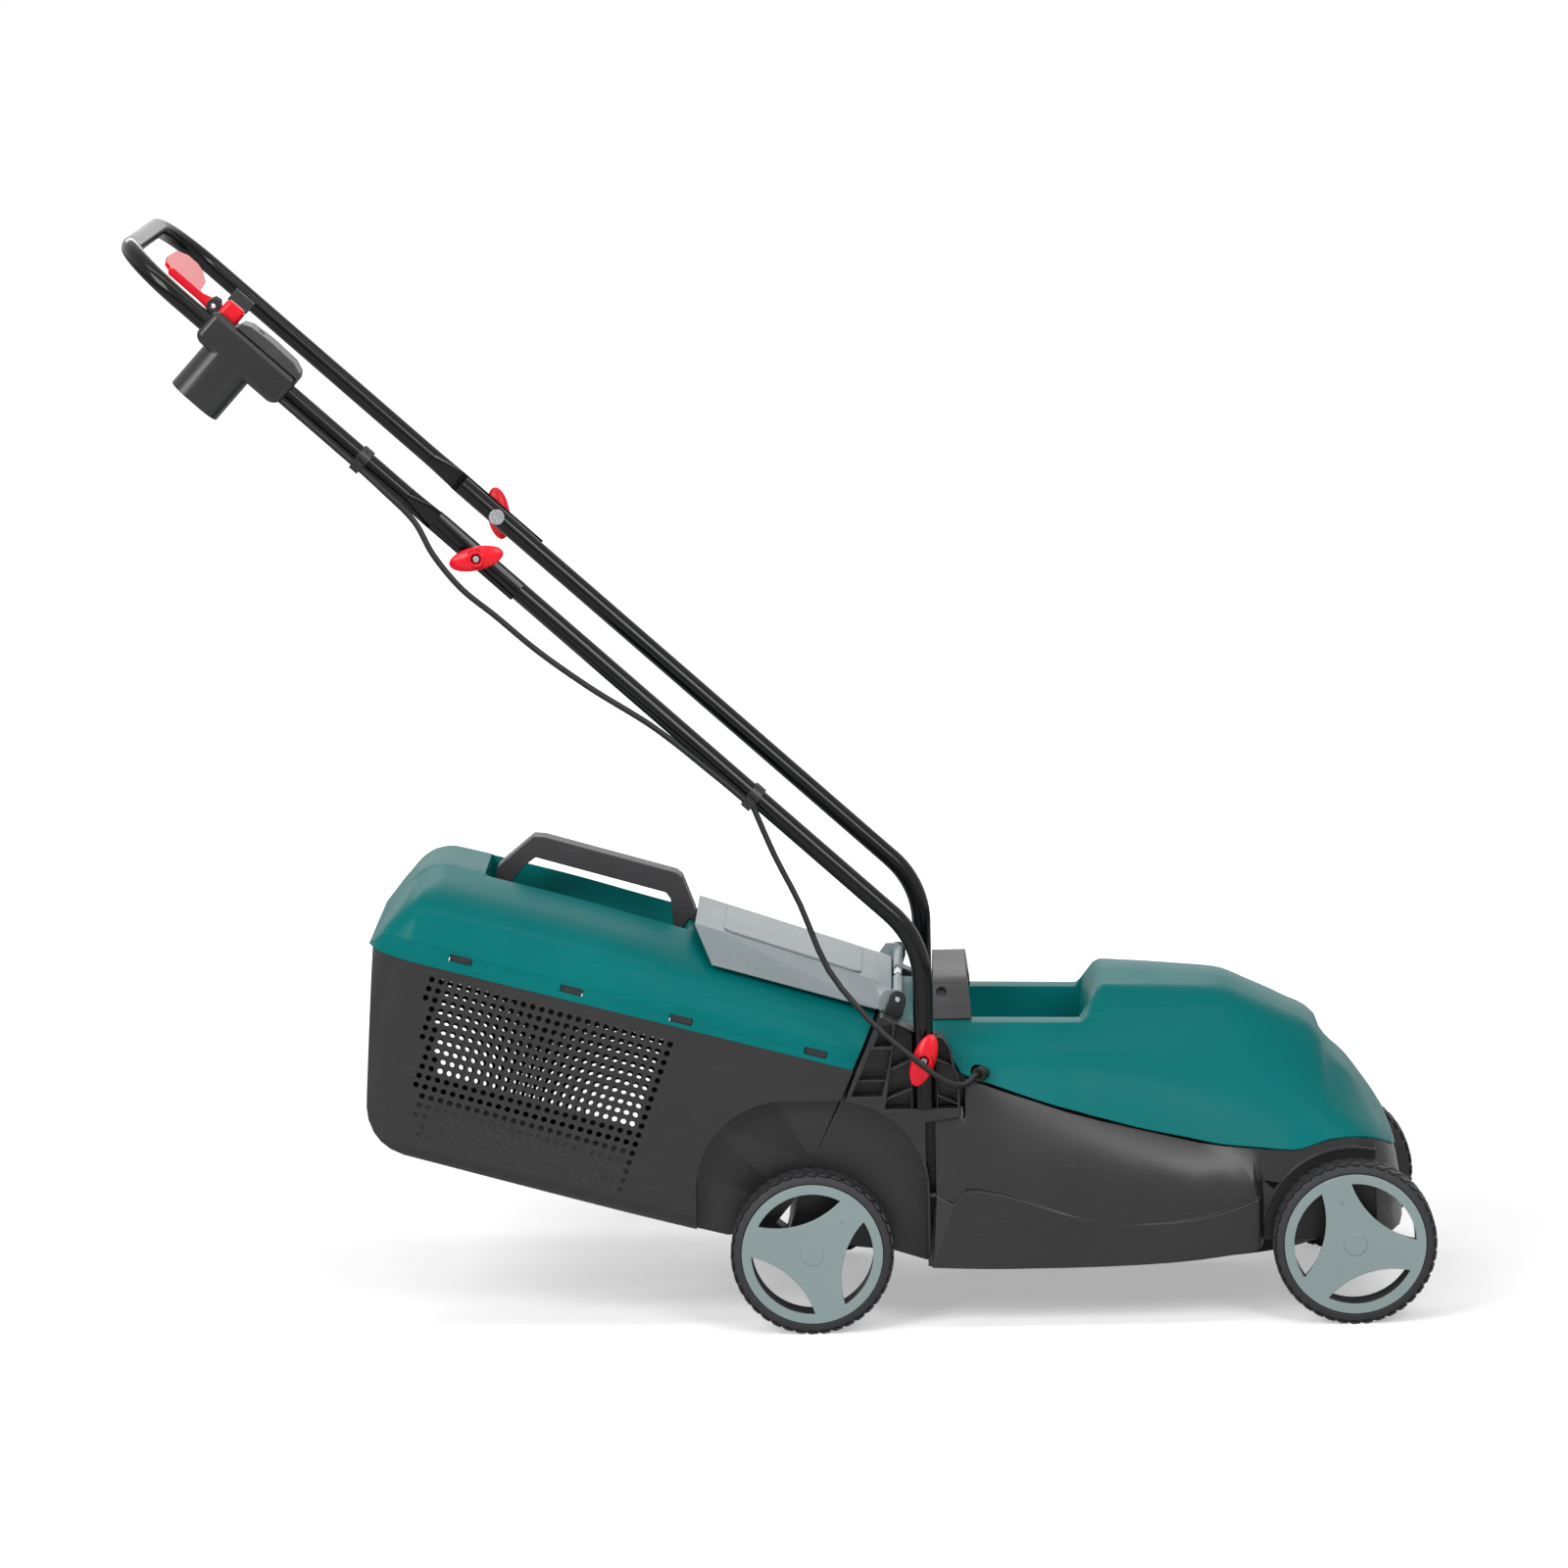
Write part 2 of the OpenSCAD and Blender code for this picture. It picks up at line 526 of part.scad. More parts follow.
module blade_bolt() color(steel) at_motor() {
  translate([0, 0, blade_z - 8.5]) cylinder(r = 8.5, h = 6, $fn = 6);
  translate([0, 0, blade_z - 3]) cylinder(r = 4, h = 33);
  translate([0, 0, blade_z - 2.5]) cylinder(r = 5, h = 8);
}

// ---------- wheels ----------
module front_axle() color(steel) at_rear() translate([wheelbase, 0, axle_z]) rod_y(ax_r, -190, 190);
module rear_axle() color(steel) at_rear() translate([0, 0, axle_z]) rod_y(ax_r, -190, 190);
module wheel_retainers() color(steel) at_rear() for (x = [0, wheelbase]) translate([x, 0, axle_z])
  both() difference() {
    rod_y(9, 186.3, 187.8);
    rod_y(ax_r, 186, 188);
  }
// wheel drawn on y = 0 with its outer face towards -y
module tyre() {
  h = wheel_w / 2;
  rotate([90, 0, 0]) rotate_extrude() polygon([[60, -h], [66, -h], [wr - 4, -h + 1], [wr - 1, -h + 4], [wr, -h + 8],
    [wr, h - 8], [wr - 1, h - 4], [wr - 4, h - 1], [cap_r + 0.3, h], [cap_r + 0.3, h - cap_t], [60, h - cap_t]]);
}
module lens2d(r0, w) {
  q = r0 * cos(45);
  c = (r0 * r0 - w * w) / (2 * (q - w));
  intersection() {
    circle(r0);
    translate([c, 0]) circle(c - w);
  }
}
module wheel(turned) {
  h = wheel_w / 2;
  difference() {
    union() {
      tyre();
      difference() {
        rod_y(60.5, -h + cap_t, -h + cap_t + 5);
        for (a = [0 : 120 : 240]) rotate([0, -turned - 60 - a, 0])
          translate([0, 0, 0]) rod2(-h, h) lens2d(cap_in + 0.5, cap_waist - 1);
      }
      rod_y(14, -h + cap_t, h - 1.2);
    }
    rod_y(ax_r + axle_gap, -30, 30);
    rod_y(11, -30, 178.5 - 186);
    for (k = [0 : treads - 1]) rotate([0, 360 * k / treads, 0]) for (e = [-1, 1])
      translate([0, e * h, wr + 2.2]) rotate([0, 0, 20 * e]) rotate([90, 0, 0]) cylinder(r = 3.4, h = 18, center = true, $fn = 12);
  }
}
module rod2(y0, y1) { translate([0, y1, 0]) rotate([90, 0, 0]) linear_extrude(y1 - y0) children(); }
module hubcap(turned) {
  h = wheel_w / 2;
  difference() {
    union() {
      rod_y(cap_r, -h, -h + cap_t);
      rod_y(11, -h - 0.8, -h + 1);
      rotate([0, -turned, 0]) translate([44, 0, 0]) rod_y(2, -h - 0.6, -h + 1);
    }
    for (a = [0 : 120 : 240]) rotate([0, -turned - 60 - a, 0]) rod2(-h - 5, h) lens2d(cap_in, cap_waist);
    rod_y(10, -h + cap_t - 1.6, 5);
  }
}
module on_hub(x, left) {
  at_rear() translate([x, left ? wy : -wy, axle_z]) rotate([0, 0, left ? 180 : 0]) children();
}
module front_left_wheel() color(black) on_hub(wheelbase, true) wheel(108);
module front_right_wheel() color(black) on_hub(wheelbase, false) wheel(108);
module rear_left_wheel() color(black) on_hub(0, true) wheel(46.6);
module rear_right_wheel() color(black) on_hub(0, false) wheel(46.6);
module front_left_hubcap() color(grey) on_hub(wheelbase, true) hubcap(108);
module front_right_hubcap() color(grey) on_hub(wheelbase, false) hubcap(108);
module rear_left_hubcap() color(grey) on_hub(0, true) hubcap(46.6);
module rear_right_hubcap() color(grey) on_hub(0, false) hubcap(46.6);

// ---------- rear flap ----------
// [x, edge half width, edge z, crease half width, crease z]
flap_rows = [
  [-110, 87, 390.8, 85, 391.4], [-93, 138, 360.4, 85, 385.8], [66, 138, 313.4, 85, 330.9],
  [73, 137, 312.6, 85, 328.6], [82, 136, 313, 84, 325.5]];
module rear_flap() color(grey) at_rear() {
  difference() {
    union() {
      loft([for (r = flap_rows) [[r[0], r[1], r[2]], [r[0], r[3], r[4]], [r[0], -r[3], r[4]], [r[0], -r[1], r[2]],
        [r[0], -r[1] + 0.6, r[2] - 2.3], [r[0], -r[3] + 0.6, r[4] - 2.5], [r[0], r[3] - 0.6, r[4] - 2.5],
        [r[0], r[1] - 0.6, r[2] - 2.3]]], true);
      translate([hinge_x, 0, hinge_z]) {
        rod_y(5, -138, -30);
        rod_y(5, 30, 138);
      }
      both() span(134, 138) polygon([[70, 309.5], [84, 309.5], [93, 318], [93, 326], [88, 330], [76, 330], [70, 322]]);
    }
    translate([hinge_x, 0, hinge_z]) rod_y(2.55, -150, 150);
    translate([hinge_x, 0, hinge_z]) rod_y(6, -29.5, 29.5);
  }
}
module flap_pin() color(steel) at_rear() translate([hinge_x, 0, hinge_z]) rod_y(2.5, -147, 147);
module flap_spring() color(steel) at_rear() translate([hinge_x, 0, hinge_z])
  for (i = [-3 : 3]) translate([0, i * 3, 0]) rotate([90, 0, 0]) rotate_extrude() translate([3.5, 0]) circle(1);

// ---------- grass box, drawn along its rim ----------
module box_side2d(g = 0) {
  intersection() {
    polygon([[6 + g, 4], [37 + g, -144], [39.5 + g, -155], [44 + g, -166], [52 + g * 0.8, -177 + g * 0.4],
      [61 + g * 0.6, -184.5 + g * 0.7], [72 + g * 0.3, -190 + g], [86, -193 + g], [322, -197.5 + g], [413, -196 + g],
      [437 - g, -187 + g], [456 - g, -172 + g], [466 - g, -150], [476 - g, -105], [496 - g, 20], [496 - g, 60], [6 + g, 60]]);
    translate([-50, -300]) square([600, 296]);
  }
}
module box_plan2d(g = 0) {
  r = 45 - g;
  translate([4 + 45, -box_half + g]) square([470, 2 * box_half - 2 * g]);
  translate([4 + g, -box_half + 45]) square([200, 2 * box_half - 90]);
  for (s = [-1, 1]) translate([4 + 45, s * (box_half - 45)]) circle(r);
}
module box_end2d(g = 0) {
  r = 18 - g;
  translate([-box_half + g, -180]) square([2 * box_half - 2 * g, 200]);
  translate([-box_half + 18, -198 + g]) square([2 * box_half - 36, 60]);
  for (s = [-1, 1]) translate([s * (box_half - 18), -180]) circle(r);
}
module box_solid(g = 0) {
  intersection() {
    side(400) box_side2d(g);
    translate([0, 0, -250]) linear_extrude(400) box_plan2d(g);
    rotate([90, 0, 90]) linear_extrude(560) box_end2d(g);
  }
}
// rows of holes in a side wall; the rearmost columns end early, where the wall starts to round
vent_steps = [3, 7, 12, 15];
function vent_start(j) = len([for (k = vent_steps) if (j >= k) 1]);
module vents2d() {
  for (j = [0 : vent_rows - 1]) for (i = [vent_start(j) : vents_along - 1])
    translate([71.9 + vent_pitch * i - 0.85 * j, -16 - 0.24 * i - vent_drop * j]) circle(d = vent_d);
}
module grass_box() color(black) difference() {
  union() {
    difference() {
      at_box() box_solid();
      at_box() intersection() {
        box_solid(box_wall);
        side(2 * box_half) translate([-50, -300]) square([700, 400]);
      }
      at_box() translate([0, 0, -10]) linear_extrude(30) intersection() {
        translate([9, -box_half + box_wall]) square([485, 2 * box_half - 2 * box_wall]);
        box_plan2d(box_wall);
      }
    }
    intersection() {
      at_box() box_solid();
      at_rear() both() {
        span(147.5, 175) difference() {
          arch2d(box_wall);
          arch2d();
        }
        span(147.5, 150) arch2d(1);
      }
    }
    at_box() both() for (c = slot_places) translate([c[0], 163.7, 1]) cube([21, 3.6, 24], center = true);
  }
  at_rear() both() span(150, 200) arch2d();
  at_box() block([440, -92, -140], [520, 92, -20]);
  at_box() both() span(box_half - box_wall - 1, box_half + 1) vents2d();
}

// [along, rim half width, rim top, shoulder half width, shoulder z, ridge z, wall foot z, middle z]
lid_rows = [
  [3, 123, -3, 120, -2.4, -1.8, -1.6, -1.4], [8, 141, 5, 132, 8, 11, 13, 13], [17, 155, 16, 140, 28, 33, 35, 36],
  [32, 164, 17, 147, 50, 62, 65, 65], [43, 167.5, 17, 150, 57, 72, 75, 75], [60, 168.5, 17, 150, 59, 79, 80.5, 81],
  [96, 168.5, 17, 150, 59, 80, 81, 81], [104, 168.5, 17, 150, 59, 80, 50, 50], [165, 168.5, 17, 150, 59, 80, 50, 50],
  [268, 168.5, 17, 150, 58, 77, 50, 50], [294, 168.5, 17, 150, 53, 76.5, 50, 50], [303, 168.5, 17, 150, 51, 76.5, 76, 76],
  [351, 168.5, 17, 150, 49.5, 75, 76, 76.5], [480, 168.5, 17, 150, 46.5, 67, 67.5, 68], [491, 168.5, 17, 150, 44, 65.5, 66, 66.5]];
// the low band round the rim stands proud of the wall above it; its top line falls towards the front
function band_top(x) = lookup(x, [[82, 16], [110, 12.2], [166, 10.9], [221, 9.6], [272, 7.2], [302, 5.5], [491, 4.6]]);
slot_places = [[94.5, 9.4], [206.5, 6.5], [317, 3.8], [452, 4]];
function lid_top(r, w, x, lean) =
  let (k = (r[1] - w) / r[1], sunk = r[6] < 60 && r[5] > 70,
    f = function(z, j) w > 0 ? max(z - w, -3.9 + 0.02 * j * j) : z,
    g = function(y) sunk ? y + w : y * k,
    p = function(y, z) [x + lean * (z + 4), y, z],
    low = w > 0 ? -4 + (f(r[2], 1) + 4) / 3 : max(-3.8, min(band_top(x), r[2] - 1)),
    high = w > 0 ? -4 + (f(r[2], 1) + 4) / 1.5 : low + 0.5, step = w > 0 ? 0 : 1.2,
    h = [p(r[1] - w, -4), p(r[1] - w, low), p(r[1] - w - step, high), p(r[1] - w - step, f(r[2], 1)), p(r[3] * k, f(r[4], 2)),
      p(g(min(64, r[1] * 0.5)), f(r[5], 3)), p(g(min(59, r[1] * 0.47)), f(r[6], 4))])
  concat(h, [p(0, f(r[7], 5))], [for (i = [6 : -1 : 0]) flip(h[i])]);
function lid_in(x) = x > 5 && x < 50 ? x + 2.5 : x > 95 && x < 105 ? x - 2.5 : x > 293 && x < 304 ? x + 2.5 : x;
module grass_box_lid() color(green) at_box() difference() {
  union() {
    loft([for (i = [0 : len(lid_rows) - 1]) let (r = lid_rows[i], l = i == len(lid_rows) - 1 ? 0.173 : 0)
      concat(lid_top(r, 0, r[0], l), back(lid_top(r, 2.5, lid_in(r[0]), l)))], true);
    intersection() {
      span(-160, 160) polygon([[491, -4], [502.9, 66], [499.6, 66], [487.8, -4]]);
      translate([480, 0, 0]) rotate([90, 0, 90]) linear_extrude(40)
        polygon([[-160, -4], [-160, 17], [-148, 44], [-62, 65], [62, 65], [148, 44], [160, 17], [160, -4]]);
    }
  }
  both() for (c = slot_places) translate([c[0], 160, c[1]]) cube([25, 30, 8], center = true);
}
module grass_box_handle() color(grey) at_box() side(box_grip_w) difference() {
  polygon([[105.5, 50.2], [105.5, 81], [107, 84], [133, 120], [144, 122], [279, 119], [286, 116], [306, 88],
    [311.5, 76.7], [302.7, 76.7], [293.6, 50.2]]);
  polygon([[121, 40], [123, 71], [132, 90], [140, 100], [274, 97], [280, 92], [289, 68], [286, 40]]);
}

// ---------- handle ----------
// the bend is a hair thicker than the straights, which run a little way into it
module foot_tube(r, e = 0) {
  translate([foot_x - foot_bend, 0, corner_z - tang]) {
    translate([foot_bend, 0, foot_z - corner_z + tang - e]) cylinder(r = r, h = corner_z - tang - foot_z + e + 1);
    rotate([90, 0, 0]) rotate_extrude(angle = turn) translate([foot_bend, 0]) circle(r + 0.15);
    rotate([0, -turn, 0]) translate([foot_bend, 0, -1]) cylinder(r = r, h = lower_run - tang + tube_past + e + 1);
  }
}
module lower_tube() {
  difference() {
    foot_tube(tr);
    foot_tube(tr - tube_wall, 1);
    translate([pivot_x, 0, pivot_z]) rod_y(br + gap, -20, 20);
    at_foot_knob() rod_y(br + gap, -20, 20);
  }
}
module lower_tube_left() color(gloss) at_rear() translate([0, lower_half, 0]) lower_tube();
module lower_tube_right() color(gloss) at_rear() translate([0, -lower_half, 0]) lower_tube();

module bow(r) {
  l = upper_run - top_bend;
  for (s = [-1, 1]) translate([-l, s * upper_half, 0]) rotate([0, 90, 0]) cylinder(r = r, h = l - 88);
  translate([-l, upper_half - top_bend, 0]) rotate([0, 0, 90]) rotate_extrude(angle = 90) translate([top_bend, 0]) circle(r);
  translate([-l, -upper_half + top_bend, 0]) rotate([0, 0, 180]) rotate_extrude(angle = 90) translate([top_bend, 0]) circle(r);
  translate([-upper_run, 0, 0]) rod_y(r, -upper_half + top_bend, upper_half - top_bend);
}
flat_in = lower_half + tr + 0.3;
flat_r = 17;
flat_y = 168.5;
module flat_end(x0, x1) {
  intersection() {
    translate([x0, flat_y, 0]) rotate([0, 90, 0]) cylinder(r = flat_r, h = x1 - x0);
    block([x0 - 1, flat_in, -20], [x1 + 1, 200, 20]);
  }
}
module upper_handle() color(gloss) at_pivot() difference() {
  union() {
    difference() {
      bow(tr);
      bow(tr - tube_wall);
    }
    both() {
      hull() {
        translate([-89, upper_half, 0]) rotate([0, 90, 0]) cylinder(r = tr, h = 1, $fn = 32);
        translate([-54, flat_in + 1.8, 0]) cube([1, 3.6, 20.4], center = true);
      }
      flat_end(-54.5, 52);
    }
  }
  both() rod_y(br + 0.3, 175, 200);
}

module bolt_set(y_head) {
  both() {
    rod_y(br, y_head, 203);
    rotate([90, 0, 0]) translate([0, 0, -y_head]) cylinder(r = 7.75, h = 2.5);
  }
}
module mid_bolts() color(steel) at_rear() translate([pivot_x, 0, pivot_z]) bolt_set(lower_half - tr);
module base_bolts() color(steel) at_foot_knob_r() bolt_set(foot_head);
module at_foot_knob_r() { at_rear() at_foot_knob() children(); }
// wing knob standing on y = 0, growing towards -y
module knob() {
  rr = (knob_l * knob_l / 4 + knob_w * knob_w / 4) / knob_w;
  difference() {
    union() {
      rotate([90, 0, 0]) cylinder(r = 9, h = 8);
      rotate([90, 0, 0]) translate([0, 0, 5]) intersection() {
        linear_extrude(14) intersection() {
          translate([0, rr - knob_w / 2]) circle(rr);
          translate([0, -rr + knob_w / 2]) circle(rr);
        }
        translate([0, 0, -30]) rotate([90, 0, 0]) cylinder(r = 43, h = 60, center = true);
      }
    }
    rotate([90, 0, 0]) translate([0, 0, -1]) cylinder(r = br + 0.05, h = 40);
    rotate([90, 0, 0]) translate([0, 0, 9]) cylinder(r = 5.6, h = 20, $fn = 6);
  }
}
module knob_at(left, y, a) { mirror([0, left ? 1 : 0, 0]) translate([0, -y, 0]) rotate([0, -a, 0]) knob(); }
module at_mid() { at_rear() translate([pivot_x, 0, pivot_z]) children(); }
knob_seat = flat_y + flat_r + 0.2;
module mid_knob_left() color(red) at_mid() knob_at(true, knob_seat, 97);
module mid_knob_right() color(red) at_mid() knob_at(false, knob_seat, 12);
module base_knob_left() color(red) at_foot_knob_r() knob_at(true, lower_half + tr + 0.2, 80);
module base_knob_right() color(red) at_foot_knob_r() knob_at(false, lower_half + tr + 0.2, 70);

// ---------- switch box, drawn along the handle ----------
module switch_housing() color(black) at_pivot() {
  difference() {
    union() {
      span(-208, -162) intersection() {
        polygon([[su + 4, -sh], [se - 2, -sh], [se, -sh + 4], [se, sh + 1], [su, sh + 1], [su, -sh + 5]]);
        square(1000, center = true);
      }
      translate([(su + se) / 2 - 11, box_y, -inlet_reach]) linear_extrude(inlet_reach - sh + 2) round2d(56, 46, 20);
      // ears the lever swings between
      for (y = [-178.4, -162.6]) side(2.6, y + 0) polygon([[su + 3, 3], [su - 4, 5], [su - 10, 11], [su - 12, 17],
        [su - 9, 23], [su - 3, 24], [su + 3, 18]]);
    }
    bow(tr);
    translate([(su + se) / 2 - 11, box_y, -inlet_reach]) {
      translate([0, 0, -1]) cylinder(d = inlet_d, h = 23);
      cylinder(d = inlet_d - 4, h = inlet_reach - 23);
    }
    // hollow for the switch
    block([su + 30, -203, 11], [se - 6, -167, 30]);
    translate([su + 13, box_y, 10]) linear_extrude(20) round2d(22.6, 14.6, 5);
    translate([su - 5, 0, 15]) {
      rod_y(2.5, -190, -150);
      rod_y(7.8, -177.1, -163.9);
    }
    translate([(su + se) / 2 - 11, box_y, -inlet_reach + 22]) for (y = [-9.5, 9.5]) translate([0, y, 0])
      cylinder(r = 2.4, h = 30);
    translate([se, -upper_half - clip_y, clip_w]) rotate([0, 90, 0]) cylinder(r = cable_d / 2 + gap, h = 16, center = true);
    for (p = [[su + 9, -9], [se - 10, 9], [se - 10, -9]]) translate([p[0], 0, p[1]]) rod_y(3.2, -210, -205.5);
  }
}
module switch_cover() color(grey) at_pivot() difference() {
  span(-206, -164) polygon([[su + 26, 18], [su + 28, 24], [su + 36, 27.5], [su + 60, 29], [se - 14, 28], [se - 4, 24],
    [se, 18]]);
  block([su + 30, -203, 10], [se - 6, -167, 22]);
  block([su + 44, -190, 20], [su + 50, -180, 40]);
}
module lock_button() color(red) at_pivot() translate([su + 13, box_y, 13]) {
  linear_extrude(17) round2d(22, 14, 5);
  translate([0, 0, 17]) linear_extrude(2) round2d(18, 10, 4);
}
module switch_lever() color(red) at_pivot() difference() {
  union() {
    translate([su - 5, 0, 15]) rod_y(7, -176.7, -164.3);
    span(-170.4, -164.4) polygon([[su - 5, 8], [su - 5, 21.5], [su - 20, 17], [su - 57, 17], [su - 61, 13], [su - 57, 9],
      [su - 20, 9]]);
    translate([0, -167, 11]) rotate([4.4, 0, 0]) linear_extrude(4)
      polygon([[su - 22, 0], [su - 24, 12], [su - 26, 60], [su - 34, 88], [su - 44, 104], [su - 58, 104],
        [su - 68, 84], [su - 70, 40], [su - 66, 10], [su - 57, 0]]);
  }
  translate([su - 5, 0, 15]) rod_y(2.55, -190, -150);
}
module lever_bracket() color(black) at_pivot() difference() {
  translate([su - 4, 160, -12]) cube([24, 28, 14]);
  bow(tr);
}
module microswitch() color(dark) at_pivot() block([su + 46, -194, 11.5], [su + 70, -178, 21.5]);
module inlet_pins() color(steel) at_pivot() translate([(su + se) / 2 - 11, box_y, -inlet_reach + 22.5])
  for (y = [-9.5, 9.5]) translate([0, y, 0]) cylinder(r = 2.4, h = 24);
module switch_screws() color(steel) at_pivot() for (p = [[su + 9, -9], [se - 10, 9], [se - 10, -9]])
  translate([p[0], 0, p[1]]) rod_y(3.2, -207.6, -205.5);

// ---------- cable and clips ----------
function on_leg(u, y, w) = [pivot_x + u * cos(handle_tilt) + w * sin(handle_tilt), -y,
  pivot_z - u * sin(handle_tilt) + w * cos(handle_tilt)];
function in_clip(u, y) = on_leg(u, y + clip_y, clip_w);
clip_half = 7;
cable_a = [in_clip(se - 7.5, upper_half), in_clip(clip_u, upper_half)];
cable_b = concat([in_clip(clip_u, upper_half)],
  course([in_clip(clip_u + clip_half, upper_half), [-395, -204, 838], [-366, -207, 808], [-348, -210, 775],
    [-322, -210, 742], [-290, -205, 714], [-250, -199, 678], [-200, -193, 640], [-140, -190, 600], [-84, -188, 553],
    in_clip(clip2_u - clip_half, lower_half)], 3),
  [in_clip(clip2_u, lower_half)]);
cable_c = concat([in_clip(clip2_u, lower_half)],
  course([in_clip(clip2_u + clip_half, lower_half), [-28, -190, 474], [-4, -193, 425], [22, -200, 362], [62, -208, 312],
    [100, -213, 278], [132, -210, 252], [151, -200, 246], grommet_at + 16 * grommet_out], 3),
  [grommet_at + 8 * grommet_out, grommet_at - 8 * grommet_out]);
module cable_upper() color(gloss) at_rear() lead(cable_a, cable_d / 2);
module cable_fold() color(gloss) at_rear() lead(cable_b, cable_d / 2);
module cable_lower() color(gloss) at_rear() lead(cable_c, cable_d / 2);
module clip(u, y) {
  at_pivot() translate([u, -y, 0]) difference() {
    union() {
      rotate([0, 90, 0]) translate([0, 0, -6]) cylinder(r = tr + clip_wall, h = 12);
      block([-5, -clip_y - cable_d / 2 - 2, clip_w - 5.2], [5, -4, clip_w + 5.2]);
    }
    rotate([0, 90, 0]) translate([0, 0, -7]) cylinder(r = tr + 0.02, h = 14);
    translate([0, -clip_y, clip_w]) rotate([0, 90, 0]) cylinder(r = cable_d / 2 + gap, h = 20, center = true);
  }
}
module cable_clip_upper() color(black) clip(clip_u, upper_half);
module cable_clip_lower() color(black) clip(clip2_u, lower_half);

// ---------- draw ----------
deck_shell();
motor_cover();
carry_handle();
deck_screws();
cable_grommet();
motor_lower_bracket();
motor_upper_bracket();
motor_stator();
motor_rotor();
motor_shaft();
lower_bearing();
upper_bearing();
cooling_fan();
run_capacitor();
blade_carrier();
blade();
blade_washer();
blade_bolt();
front_axle();
rear_axle();
wheel_retainers();
front_left_wheel();
front_right_wheel();
rear_left_wheel();
rear_right_wheel();
front_left_hubcap();
front_right_hubcap();
rear_left_hubcap();
rear_right_hubcap();
rear_flap();
flap_pin();
flap_spring();
grass_box();
grass_box_lid();
grass_box_handle();
lower_tube_left();
lower_tube_right();
upper_handle();
mid_bolts();
base_bolts();
mid_knob_left();
mid_knob_right();
base_knob_left();
base_knob_right();
switch_housing();
switch_cover();
lock_button();
switch_lever();
lever_bracket();
microswitch();
inlet_pins();
switch_screws();
cable_upper();
cable_fold();
cable_lower();
cable_clip_upper();
cable_clip_lower();
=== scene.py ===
"""Looks for a small corded rotary lawn mower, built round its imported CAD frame."""

import json
import math

import bmesh
import bpy
from bpy.props import FloatProperty, FloatVectorProperty, IntProperty, PointerProperty
from mathutils import Matrix, Vector


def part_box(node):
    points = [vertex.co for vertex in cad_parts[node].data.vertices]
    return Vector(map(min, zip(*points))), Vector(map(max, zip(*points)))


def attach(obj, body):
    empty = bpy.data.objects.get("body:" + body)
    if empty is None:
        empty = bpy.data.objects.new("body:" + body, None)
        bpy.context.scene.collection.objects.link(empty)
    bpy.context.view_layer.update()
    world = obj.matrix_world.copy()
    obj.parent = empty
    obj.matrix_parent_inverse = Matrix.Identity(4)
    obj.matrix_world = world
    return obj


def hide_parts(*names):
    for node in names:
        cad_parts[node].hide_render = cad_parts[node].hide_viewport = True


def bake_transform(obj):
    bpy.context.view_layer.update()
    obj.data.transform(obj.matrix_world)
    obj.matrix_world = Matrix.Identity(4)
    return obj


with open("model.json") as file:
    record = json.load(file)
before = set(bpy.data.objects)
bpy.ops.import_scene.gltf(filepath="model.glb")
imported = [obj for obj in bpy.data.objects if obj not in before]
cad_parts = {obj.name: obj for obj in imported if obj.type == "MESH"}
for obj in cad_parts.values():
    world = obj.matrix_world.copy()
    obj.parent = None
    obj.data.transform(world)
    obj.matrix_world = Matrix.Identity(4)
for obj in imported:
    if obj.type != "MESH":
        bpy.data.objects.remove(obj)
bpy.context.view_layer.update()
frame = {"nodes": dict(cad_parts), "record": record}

MM = 0.001
# the handle's fold joint and lean, then the rear end of the grass box's rim and the rim's lean
FOLD, HANDLE_LEAN = Vector((-0.288748, 0, 0.769586)), math.radians(42.5)
BOX_RIM, BOX_LEAN = Vector((-0.411, 0, 0.389)), math.radians(15.2)
REAR_AXLE = 19  # place of the rear axle in mm; the sections of the motor cover are measured from it
WALL = 2.4  # of the large mouldings, in mm
LEAD_RADIUS = 3  # mm
MOST_FACES = 60000  # a mesh with more faces takes too long to free of its inner edges
WAVE = 2 * math.pi / 20  # from band to band of a wave texture whose scale is 1
SWAP_YZ = Matrix(((1, 0, 0, 0), (0, 0, 1, 0), (0, 1, 0, 0), (0, 0, 0, 1)))

bl_info = {
    "name": "Lawn mower looks",
    "version": (1, 0, 0),
    "blender": (4, 5, 0),
    "location": "3D View > Sidebar > Mower",
    "description": "Dresses the CAD frame of a corded lawn mower with finished pieces, materials and a studio",
    "category": "Object",
}

BODY_OF = {node: body for body, nodes in frame["record"]["behaviour"]["bodies"].items() for node in nodes}


# ---------- colour and node helpers ----------
def linear(code):
    """An sRGB hex colour as the linear RGBA that Blender's sockets hold."""
    channels = [int(code[i : i + 2], 16) / 255 for i in (1, 3, 5)]
    return tuple(c / 12.92 if c <= 0.04045 else ((c + 0.055) / 1.055) ** 2.4 for c in channels) + (1.0,)


def add(tree, kind, inputs=None, **settings):
    """Adds a node; settings are its own properties, and inputs gives each socket a value or another socket."""
    made = tree.nodes.new(kind)
    for key, value in settings.items():
        setattr(made, key, value)
    for key, value in (inputs or {}).items():
        if isinstance(value, bpy.types.NodeSocket):
            tree.links.new(value, made.inputs[key])
        else:
            made.inputs[key].default_value = value
    return made


def fresh(name):
    """An empty material tree with its output, and the Object coordinates that every pattern here reads."""
    material = bpy.data.materials.new(name)
    material.use_nodes = True
    tree = material.node_tree
    tree.nodes.clear()
    return material, tree, add(tree, "ShaderNodeTexCoord").outputs["Object"]


def close(material, tree, shader):
    """Ends a material tree with a shader."""
    add(tree, "ShaderNodeOutputMaterial", {"Surface": shader.outputs[0]})
    return material


